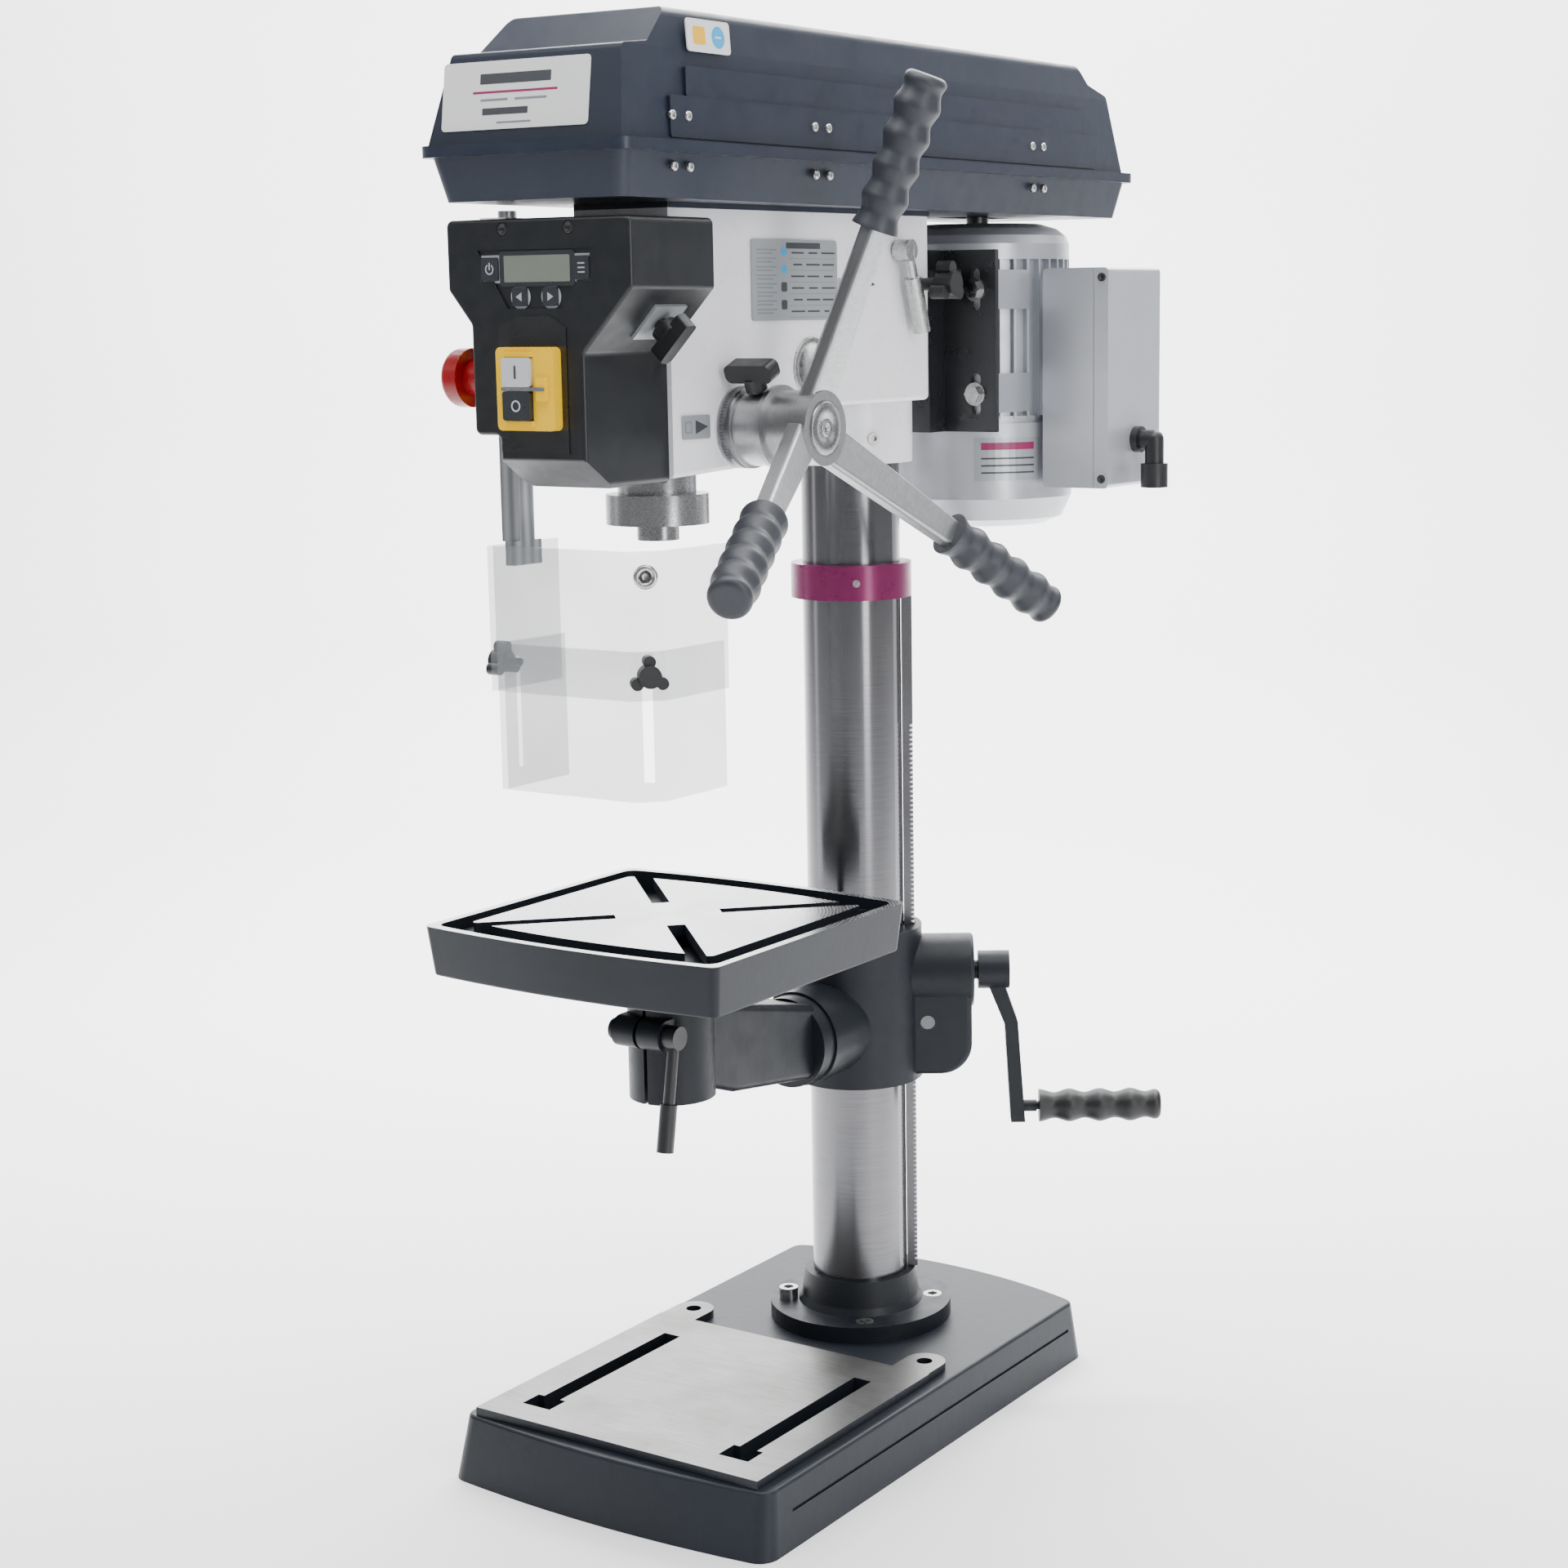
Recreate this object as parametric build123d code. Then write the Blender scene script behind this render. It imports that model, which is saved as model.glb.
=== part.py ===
# Bench drill press: cast base, round column with a rack, tilting and turning table,
# belt-driven head with a quill, star feed handle, hinged belt cover and chip guard.
# Millimetres. +Z is up, the operator stands on the -Y side, +X is the operator's right.
# The origin is on the column axis, in the plane that the base stands on.
import os
from math import acos, asin, atan2, cos, degrees, hypot, pi, radians, sin, tan

from build123d import *

# ---------------------------------------------------------------- clearances
RUN = 0.05          # radial running clearance of shafts and slides
GAP = 0.5           # air between faces that pass each other
SEAT = 0.02         # radial gap of pieces that are fixed in each other

# ---------------------------------------------------------------- base
BASE_HALF = 151.0           # half width where it stands
BASE_FRONT = -358.0         # front corners
BASE_REAR = 120.0           # rear corners
BASE_BOW = 10.0             # how far the front edge bows out
BASE_REAR_BOW = 26.0
BASE_DRAFT = 6.0            # the sides lean in by this
BASE_TOP = 50.0             # painted deck height
BASE_PLINTH = 27.0          # the lower band of the sides stands out this far up
BASE_STEP = 1.6
BASE_EDGE = 3.0             # rounding of the deck's edge
BASE_WALL = 12.0
PAD_TOP = 57.0              # machined clamping pad
PAD_HALF = 134.0
PAD_REAR = -106.0
BENCH_HOLE_X = 116.0
BENCH_HOLE_Y = -84.0
BENCH_HOLE_R = 6.5
EAR_R = 17.0
SLOT_X = 94.5               # two clamping slots, front to rear
SLOT_W = 16.0
SLOT_REAR = -143.0
SLOT_FRONT = -320.0
POCKET_W = 27.0             # wide end where a bolt head drops in
POCKET_L = 20.0

# ---------------------------------------------------------------- column
COLUMN_R = 40.0
COLUMN_WALL = 5.0
COLUMN_TOP = 900.0
FOOT_R = 77.0
FOOT_THICK = 14.0
FOOT_NECK_R = 50.0
FOOT_NECK_TOP = 92.0
FOOT_BOLT_R = 61.7          # bolt circle radius
FOOT_BOLT_ANGLE = 36.0      # bolts stand this far round from the front
FOOT_BOLT_HEAD_R = 8.0
FOOT_BOLT_HEAD_H = 10.0
RING_R = 49.2               # stop ring that holds the rack's upper end
RING_LOW = 666.0
RING_H = 28.0
RACK_ANGLE = 33.0           # the rack stands this far behind +X
RACK_W = 12.0
RACK_OUT = 49.0             # tooth tips from the column axis
RACK_MODULE = 1.25
RACK_TEETH_TOP = 562.0

# ---------------------------------------------------------------- table and its bracket
TABLE_TOP = 449.0
TABLE_RISE = 38.0           # rim height
TABLE_HALF_X = 134.0
TABLE_HALF_Y = 124.0
TABLE_BOW = 9.0
TABLE_SLAB = 24.0
TABLE_RIM = 7.0
MOAT = 16.0                 # coolant channel width at the sides
MOAT_EXTRA_Y = 5.0          # the channel is this much wider at front and rear
MOAT_DEEP = 9.0
TEE_W = 14.0                # neck of the diagonal slots
TEE_HEAD_W = 24.0
TEE_NECK_H = 9.0
TEE_HEAD_H = 9.0
TEE_INNER = 40.0            # slots start this far from the table centre
STEM_R = 20.0
SOCKET_R = 33.0
SOCKET_LOW = 308.0
SOCKET_HIGH = 400.0
TILT_Z = 312.0
TILT_R = 39.0
TILT_FACE = -89.0           # front face of the tilt boss
SPIGOT_R = 15.0
BRACKET_R = 55.0
BRACKET_LOW = 262.0
BRACKET_HIGH = 391.0
GEAR_BOSS_R = 31.0
GEAR_BOSS_OUT = 98.0
WORM_Z = 350.0
PINION_TEETH = 18
CRANK_DROP = 119.0
CRANK_GRIP_L = 103.0
CRANK_GRIP_R = 13.5

# ---------------------------------------------------------------- head casting
HEAD_FRONT = -293.0
HEAD_FRONT_HALF = 42.0
HEAD_REAR_HALF = 59.0
HEAD_SIDE_END = 30.0
HEAD_REAR = 52.0
HEAD_LOW = 778.0            # underside round the quill
HEAD_STEP = 823.0           # underside of the rear half
HEAD_TOP = 968.0
COLLAR_R = 51.0
COLLAR_LOW = 775.0

# ---------------------------------------------------------------- spindle and feed
SPINDLE_Y = -258.0
QUILL_R = 29.0
QUILL_LOW = 765.0
QUILL_TOP = 925.0
QUILL_BORE_R = 18.0
QUILL_RACK_DEEP = 3.0
COLLET_R = 38.0             # steel ring at the quill's lower end
COLLET_H = 22.0
NOSE_R = 15.5
NOSE_LOW = 731.0
SPINDLE_R = 12.5
SPINDLE_UP_R = 9.5
SPINDLE_TOP = 1056.0
TAPER_MOUTH_R = 8.9         # morse taper no. 2 socket
TAPER_END_R = 7.3
TAPER_L = 66.0
FEED_Z = 812.0
FEED_MODULE = 1.5
FEED_TEETH = 18
FEED_SHAFT_R = 9.0
HUB_FACE = 122.0
HUB_R = 27.0
ARM_PHASES = (84.0, 204.0, 324.0)
ARM_ROOT = (110.0, 14.0)    # X, and radius from the feed axis
ARM_END = (195.0, 246.0)
ARM_THICK = 13.0
ARM_ROOT_W = 31.0
ARM_TIP_W = 21.0
GRIP_L = 112.0
GRIP_R = 15.6

# ---------------------------------------------------------------- belt case
RIM_HALF = 91.5
RIM_FRONT = -405.0
RIM_REAR = 325.0
RIM_Z = 1010.0
RIM_H = 8.0
PAN_LOW = 972.0
PAN_WALL = 2.0
PAN_DRAFT = 8.0
LID_INSET = 7.0
LID_TOP = 1099.0
LID_EDGE = 4.0
PLATEAU_Z = 1071.0
HINGE_X = 93.5
HINGE_Z = 1005.0

# ---------------------------------------------------------------- pulleys
STEP_H = 18.0
PULLEY_LOW = 990.0
GROOVE = 9.0
SPINDLE_STEPS = (66.0, 54.0, 42.0)
CENTRE_STEPS = (34.0, 46.0, 58.0)
MOTOR_STEPS = (58.0, 46.0, 34.0)
CENTRE_Y = -20.0
ARM_PIVOT = (30.0, 26.0)
BELT_H = 6.0

# ---------------------------------------------------------------- motor
MOTOR_Y = 205.0
MOTOR_R = 73.0
FIN_R = 79.0
COWL_R = 81.0
COWL_LOW = 712.0
COWL_TOP = 800.0
FINS_TOP = 938.0
MOTOR_TOP = 966.0
SHAFT_R = 9.5
PLATE_Y = 100.0             # front face of the motor plate's flanges
PLATE_T = 5.0
PLATE_HALF = 79.0
PLATE_INNER = 30.0
PLATE_WEB_Y = 76.0
PLATE_LOW = 795.0
PLATE_HIGH = 943.0
BOLT_X = 60.0
BOLT_Z = (911.0, 826.0)
BAR_X = 49.0
BAR_R = 6.0
BAR_Z = 915.0
BAR_FRONT = -76.0
BOX_IN = 84.0
BOX_OUT = 146.0
BOX_FRONT = 170.0
BOX_REAR = 264.0
BOX_LOW = 746.0
BOX_HIGH = 928.0
GLAND_Y = 220.0
GLAND_Z = 785.0
LEVER = (-17.0, 941.0)      # Y, Z of the tension lever's shaft
LOCK = (17.0, BAR_Z)

# ---------------------------------------------------------------- control housing
PANEL_FRONT = -387.0
PANEL_REAR = -293.0
PANEL_HALF = 81.0
PANEL_TOP = 960.0
PANEL_KNEE = 912.0          # where the wide part starts to taper in
PANEL_WAIST = 868.0         # where the narrow part starts
PANEL_NARROW = 38.0
PANEL_STEP_X = 61.0         # left side carries the emergency stop
PANEL_STEP_Z = 812.0
PANEL_LIP = 796.0
PANEL_LOW = 775.0
PANEL_CUT_Y = -356.0
PANEL_WALL = 3.0
STOP_Y = -358.0
STOP_Z = 851.0
SWITCH = (-6.5, 844.5)
SWITCH_SIZE = (51.0, 57.0)

# ---------------------------------------------------------------- chip guard
ROD = (-95.5, -303.0)
ROD_W = 17.0
ROD_R = 6.8                 # round top end that turns in the head's lug
ROD_TOP = 969.0
GUARD_LEFT = -98.0
GUARD_RIGHT = 49.0
GUARD_FRONT = -336.0
GUARD_CHAMFER = 19.0
GUARD_LEFT_REAR = -258.0
GUARD_RIGHT_REAR = -241.0
GUARD_LOW = 622.0
GUARD_TOP = 729.0
GUARD_WALL = 3.0
SHIELD_LOW = 548.0
SHIELD_TOP = 657.0
GUARD_KNOB_Z = 641.0

FEED_PITCH_R = FEED_MODULE * FEED_TEETH / 2
FEED_Y = SPINDLE_Y + QUILL_R - FEED_MODULE + FEED_PITCH_R
PINION_PITCH_R = RACK_MODULE * PINION_TEETH / 2
PINION_U = RACK_OUT - RACK_MODULE + PINION_PITCH_R
PINION_Z = 311.0
RADIAL = Rot(0, 0, RACK_ANGLE)          # turns +X to the rack's direction
FOOT_TOP = BASE_TOP + FOOT_THICK


# ================================================================ helpers
def cyl(r, low, high, x=0.0, y=0.0):
    """Upright cylinder between two heights."""
    return Pos(x, y, (low + high) / 2) * Cylinder(r, high - low)


def cyl_x(r, x0, x1, y=0.0, z=0.0):
    """Cylinder along X."""
    return Pos((x0 + x1) / 2, y, z) * Rot(0, 90, 0) * Cylinder(r, x1 - x0)


def cyl_y(r, y0, y1, x=0.0, z=0.0):
    """Cylinder along Y."""
    return Pos(x, (y0 + y1) / 2, z) * Rot(90, 0, 0) * Cylinder(r, y1 - y0)


def block(x0, x1, y0, y1, z0, z1):
    """Box between two corners."""
    return Pos((x0 + x1) / 2, (y0 + y1) / 2, (z0 + z1) / 2) * Box(x1 - x0, y1 - y0, z1 - z0)


def prism(points, low, high):
    """Plan outline pulled up between two heights."""
    face = make_face(Polyline(*points, close=True))
    return Pos(0, 0, low) * extrude(face, high - low)


def side_prism(points, x0, x1):
    """Outline given as Y, Z pulled along X."""
    face = Plane.YZ * make_face(Polyline(*points, close=True))
    return Pos(x0, 0, 0) * extrude(face, x1 - x0)


def front_prism(points, y0, y1):
    """Outline given as X, Z pulled along Y."""
    face = Plane.XZ * make_face(Polyline(*points, close=True))
    return Pos(0, y1, 0) * extrude(face, y1 - y0)


def turned(points):
    """Outline of radius and height turned about Z."""
    face = Plane.XZ * make_face(Polyline(*points, close=True))
    return revolve(face, Axis.Z)


def upright(shape):
    """Edges parallel to Z."""
    return shape.edges().filter_by(Axis.Z)


def bowed(half_x, front, rear, bow_front, bow_rear, corner):
    """Four-sided outline whose front and rear edges bow outwards."""
    a, b, c, d = (-half_x, front), (half_x, front), (half_x, rear), (-half_x, rear)
    line = Curve() + [
        ThreePointArc(a, (0, front - bow_front), b),
        Line(b, c),
        ThreePointArc(c, (0, rear + bow_rear), d),
        Line(d, a),
    ]
    face = make_face(line)
    return fillet(face.vertices(), corner)


def gear(module, teeth, width, tip_share=0.8, thick_share=0.40):
    """Spur gear about Z with straight-flanked teeth, centred on the origin."""
    pitch_r = module * teeth / 2
    root_r = pitch_r - 1.25 * module
    tip_r = pitch_r + tip_share * module
    half = thick_share * pi * module / 2
    lean = tan(radians(22))
    root_half = half + 1.0 * module * lean
    tip_half = half - tip_share * module * lean
    body = Cylinder(root_r, width)
    tooth = make_face(Polyline(
        (root_r - 0.6, -root_half), (tip_r, -tip_half), (tip_r, tip_half), (root_r - 0.6, root_half),
        close=True))
    bar = Pos(0, 0, -width / 2) * extrude(tooth, width)
    return body + [Rot(0, 0, 360 * k / teeth) * bar for k in range(teeth)]


def rack_gaps(module, low, count, out, deep=2.25, thick_share=0.44):
    """Gaps between rack teeth as X, Z outlines; tooth tips stand at X = out."""
    pitch = pi * module
    lean = tan(radians(20))
    half_gap = (1 - thick_share) * pitch / 2
    tip_half = half_gap + module * lean
    root_half = half_gap - (deep - 1) * module * lean
    outlines = []
    for k in range(count):
        z = low + pitch * k
        outlines.append(((out + 1, z - tip_half), (out - deep * module, z - root_half),
                         (out - deep * module, z + root_half), (out + 1, z + tip_half)))
    return outlines


def star_knob(r, thick, lobes=3):
    """Lobed clamping knob about X, from X = 0 outwards."""
    core = cyl_x(r * 0.55, 0, thick)
    for k in range(lobes):
        a = 2 * pi * k / lobes + pi / 2
        core += cyl_x(r * 0.30, 0, thick * 0.8, r * 0.7 * cos(a), r * 0.7 * sin(a))
    return core


def waved_grip(length, radius, waves):
    """Finger grip about Z, from Z = 0 upwards, with an even wave along it."""
    swell = 1.5
    steps = waves * 4
    side = [(radius + swell * cos(2 * pi * waves * k / steps), length * k / steps) for k in range(steps + 1)]
    profile = Curve() + [
        Spline(*side),
        Line(side[-1], (0, length)),
        Line((0, length), (0, 0)),
        Line((0, 0), side[0]),
    ]
    grip = revolve(Plane.XZ * make_face(profile), Axis.Z)
    return fillet(grip.edges().sort_by(Axis.Z)[-1], 5)


NODES = {}


def node(name, shape):
    """Keep a finished piece under its node name."""
    NODES[name] = shape


# ================================================================ base and column
def make_base():
    bottom = bowed(BASE_HALF, BASE_FRONT, BASE_REAR, BASE_BOW, BASE_REAR_BOW, 16)
    top = bowed(BASE_HALF - BASE_DRAFT, BASE_FRONT + 2 * BASE_DRAFT, BASE_REAR - BASE_DRAFT,
                BASE_BOW, BASE_REAR_BOW, 12)
    shell = loft([bottom, Pos(0, 0, BASE_TOP) * top])
    shell = fillet(shell.faces().sort_by(Axis.Z)[-1].edges(), BASE_EDGE)
    for side in (-1, 1):
        step = BASE_STEP + BASE_DRAFT * (BASE_TOP - BASE_PLINTH) / BASE_TOP
        x0, x1 = sorted((side * (BASE_HALF + 5), side * (BASE_HALF - BASE_DRAFT + step - 2 * BASE_STEP)))
        groove = block(x0, x1, BASE_FRONT + 38, BASE_REAR - 20, BASE_PLINTH, BASE_PLINTH + 2.4)
        shell -= groove
    wall = BASE_WALL + BASE_DRAFT
    hollow = bowed(BASE_HALF - wall, BASE_FRONT + BASE_DRAFT + wall, BASE_REAR - wall,
                   BASE_BOW, BASE_REAR_BOW, 10)
    shell -= Pos(0, 0, -1) * extrude(hollow, BASE_TOP - BASE_WALL + 1)
    shell += cyl(FOOT_R - 12, 0, BASE_TOP - 1)
    pad = block(-PAD_HALF, PAD_HALF, BASE_FRONT + 2 * BASE_DRAFT + 1, PAD_REAR, BASE_TOP - 1, PAD_TOP)
    for side in (-1, 1):
        x = side * BENCH_HOLE_X
        pad += cyl(EAR_R, BASE_TOP - 1, PAD_TOP, x, BENCH_HOLE_Y)
        pad += block(x - EAR_R, x + EAR_R, PAD_REAR - 1, BENCH_HOLE_Y, BASE_TOP - 1, PAD_TOP)
    shell += pad
    deck_low = BASE_TOP - BASE_WALL - 1
    for side in (-1, 1):
        x = side * SLOT_X
        shell -= block(x - SLOT_W / 2, x + SLOT_W / 2, SLOT_FRONT + 1, SLOT_REAR, deck_low, PAD_TOP + 1)
        shell -= block(x - POCKET_W / 2, x + POCKET_W / 2, SLOT_FRONT, SLOT_FRONT + POCKET_L,
                       deck_low, PAD_TOP + 1)
        shell -= cyl(BENCH_HOLE_R, deck_low, PAD_TOP + 1, side * BENCH_HOLE_X, BENCH_HOLE_Y)
    for x, y in foot_bolt_places():
        shell -= cyl(5.0, BASE_TOP - 30, BASE_TOP + 1, x, y)
    shell -= cyl(COLUMN_R + SEAT, BASE_TOP - 20, BASE_TOP + 1)
    node("base", shell)


def foot_bolt_places():
    angles = [FOOT_BOLT_ANGLE - 90 + 90 * k for k in range(4)]
    return [(FOOT_BOLT_R * cos(radians(a)), FOOT_BOLT_R * sin(radians(a))) for a in angles]


def foot_bolt_seats():
    """Three bolts sit sunk in the flange, the left one stands proud of it."""
    sunk = FOOT_TOP - FOOT_BOLT_HEAD_H
    return [sunk, sunk, sunk, FOOT_TOP]


def make_column():
    foot = turned([(0, BASE_TOP), (FOOT_R, BASE_TOP), (FOOT_R, FOOT_TOP), (FOOT_NECK_R + 3, FOOT_TOP),
                   (FOOT_NECK_R, FOOT_TOP + 6), (FOOT_NECK_R - 3, FOOT_NECK_TOP), (0, FOOT_NECK_TOP)])
    foot -= cyl(COLUMN_R + SEAT, BASE_TOP - 1, FOOT_NECK_TOP + 1)
    bolts = []
    for (x, y), seat in zip(foot_bolt_places(), foot_bolt_seats()):
        foot -= cyl(5.0, BASE_TOP - 1, FOOT_TOP + 1, x, y)
        foot -= cyl(FOOT_BOLT_HEAD_R + 0.4, seat, FOOT_TOP + 1, x, y)
        bolt = cyl(FOOT_BOLT_HEAD_R, seat, seat + FOOT_BOLT_HEAD_H, x, y) + cyl(4.9, BASE_TOP - 24, seat, x, y)
        top = seat + FOOT_BOLT_HEAD_H
        bolt -= Pos(x, y, top - 5) * extrude(RegularPolygon(4.6, 6), 6)
        bolts.append(bolt)
    for side in (-1, 1):
        a = radians(-90 + side * 55)
        screw = Pos(COLLAR_R * cos(a), COLLAR_R * sin(a), 795) * Rot(0, 0, degrees(a))
        bolts.append(screw * (cyl_x(5.0, -7, 2) - cyl_x(2.4, -1, 3)))
    ring_turn = Rot(0, 0, -52)
    bolts.append(ring_turn * Pos(RING_R, 0, RING_LOW + RING_H / 2) * cyl_x(3.0, -8, -0.4))
    node("column_foot", foot)
    node("column_bolts", Compound(children=bolts))
    tube = cyl(COLUMN_R, BASE_TOP - 20, COLUMN_TOP) - cyl(COLUMN_R - COLUMN_WALL, BASE_TOP - 21, COLUMN_TOP + 1)
    node("column_tube", tube)
    ring = cyl(RING_R, RING_LOW, RING_LOW + RING_H) - cyl(COLUMN_R + SEAT, RING_LOW - 1, RING_LOW + RING_H + 1)
    ring -= ring_turn * Pos(RING_R, 0, RING_LOW + RING_H / 2) * cyl_x(3.05, -10, 1)
    node("rack_ring", ring)


def make_rack():
    low = FOOT_NECK_TOP + GAP
    high = RING_LOW - GAP
    bar = block(COLUMN_R + 0.4, RACK_OUT, -RACK_W / 2, RACK_W / 2, low, high)
    bar -= cyl(COLUMN_R + 0.4, low - 1, high + 1)
    pitch = pi * RACK_MODULE
    below = int((PINION_Z - low - 6) / pitch)
    above = int((RACK_TEETH_TOP - PINION_Z) / pitch)
    first = PINION_Z - below * pitch
    cuts = [front_prism(o, -RACK_W, RACK_W) for o in rack_gaps(RACK_MODULE, first, below + above + 1, RACK_OUT)]
    bar -= cuts
    node("rack", RADIAL * bar)


# ================================================================ table
def make_bracket():
    body = cyl(BRACKET_R, BRACKET_LOW, BRACKET_HIGH)
    body += cyl_y(TILT_R, TILT_FACE, 0, 0, TILT_Z)
    boss = cyl_x(GEAR_BOSS_R, 30, GEAR_BOSS_OUT, 0, WORM_Z)
    lower = block(30, GEAR_BOSS_OUT - 2, -GEAR_BOSS_R + 5, GEAR_BOSS_R - 5, 266, WORM_Z)
    lower = fillet(lower.edges().filter_by(Axis.Y).group_by(Axis.Z)[0].sort_by(Axis.X)[-1:], 26)
    body += RADIAL * (fillet(boss.edges().sort_by(Axis.X)[-1], 3) + fillet(lower.edges().filter_by(Axis.X), 5))
    body += cyl_y(11, -22, 22, -62, 330) + block(-62, -40, -22, 22, 319, 341)
    body -= cyl(COLUMN_R + RUN, BRACKET_LOW - 1, BRACKET_HIGH + 1)
    way = block(0, RACK_OUT + 0.7, -RACK_W / 2 - 0.4, RACK_W / 2 + 0.4, BRACKET_LOW - 1, BRACKET_HIGH + 1)
    body -= RADIAL * way
    inside = cyl_y(PINION_PITCH_R + 3, -9.5, 9.5, PINION_U, PINION_Z)
    inside += cyl_x(10.5, 56, GEAR_BOSS_OUT - 12, 0, WORM_Z)
    inside += cyl_x(8 + RUN, GEAR_BOSS_OUT - 13, GEAR_BOSS_OUT + 1, 0, WORM_Z)
    inside += block(PINION_U - 8, PINION_U + 8, -9.5, 9.5, PINION_Z, WORM_Z)
    inside += cyl_y(6 + RUN, -GEAR_BOSS_R, GEAR_BOSS_R, PINION_U, PINION_Z)
    body -= RADIAL * inside
    body -= cyl_y(SPIGOT_R + RUN, TILT_FACE - 1, TILT_FACE + 32, 0, TILT_Z)
    body -= cyl_y(5 + RUN, -23, 23, -62, 330)
    node("table_bracket", body)


def make_rack_drive():
    wheel = gear(RACK_MODULE, PINION_TEETH, 17) + Cylinder(6, 2 * (GEAR_BOSS_R - 5) - 2)
    wheel = Pos(PINION_U, 0, PINION_Z) * Rot(90, 0, 0) * Rot(0, 0, 180) * wheel
    node("rack_pinion", RADIAL * wheel)
    hub_in = GEAR_BOSS_OUT + 4
    crank = cyl_x(8, 60, hub_in + 20, 0, WORM_Z)
    crank += cyl_x(16, hub_in, hub_in + 26, 0, WORM_Z)
    low = WORM_Z - CRANK_DROP
    arm_path = [(hub_in + 6, WORM_Z - 6), (hub_in + 20, WORM_Z - 6), (hub_in + 33, WORM_Z - 44),
                (hub_in + 39, low - 12), (hub_in + 27, low - 12), (hub_in + 22, WORM_Z - 46)]
    arm = front_prism(arm_path, -9, 9)
    crank += arm
    stub = hub_in + 37
    crank += cyl_x(5, stub, stub + 12, 0, low)
    crank += cyl_x(3.5, stub, stub + 14 + CRANK_GRIP_L - 4, 0, low)
    node("crank", RADIAL * crank)
    grip = waved_grip(CRANK_GRIP_L, CRANK_GRIP_R - 1, 4) - cyl(3.5 + RUN, -1, CRANK_GRIP_L - 3)
    grip = Pos(stub + 14, 0, low) * Rot(0, 90, 0) * grip
    node("crank_grip", RADIAL * grip)
    lever = cyl_y(5, -24, 30, -62, 330) + cyl_y(9, 24, 38, -62, 330)
    lever += Pos(-62, 31, 330) * Rot(0, 28, 0) * cyl(4.5, -82, 0)
    lever += Pos(-62, 31, 330) * Rot(0, 28, 0) * cyl(7, -100, -70)
    node("bracket_lever", lever)


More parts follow.
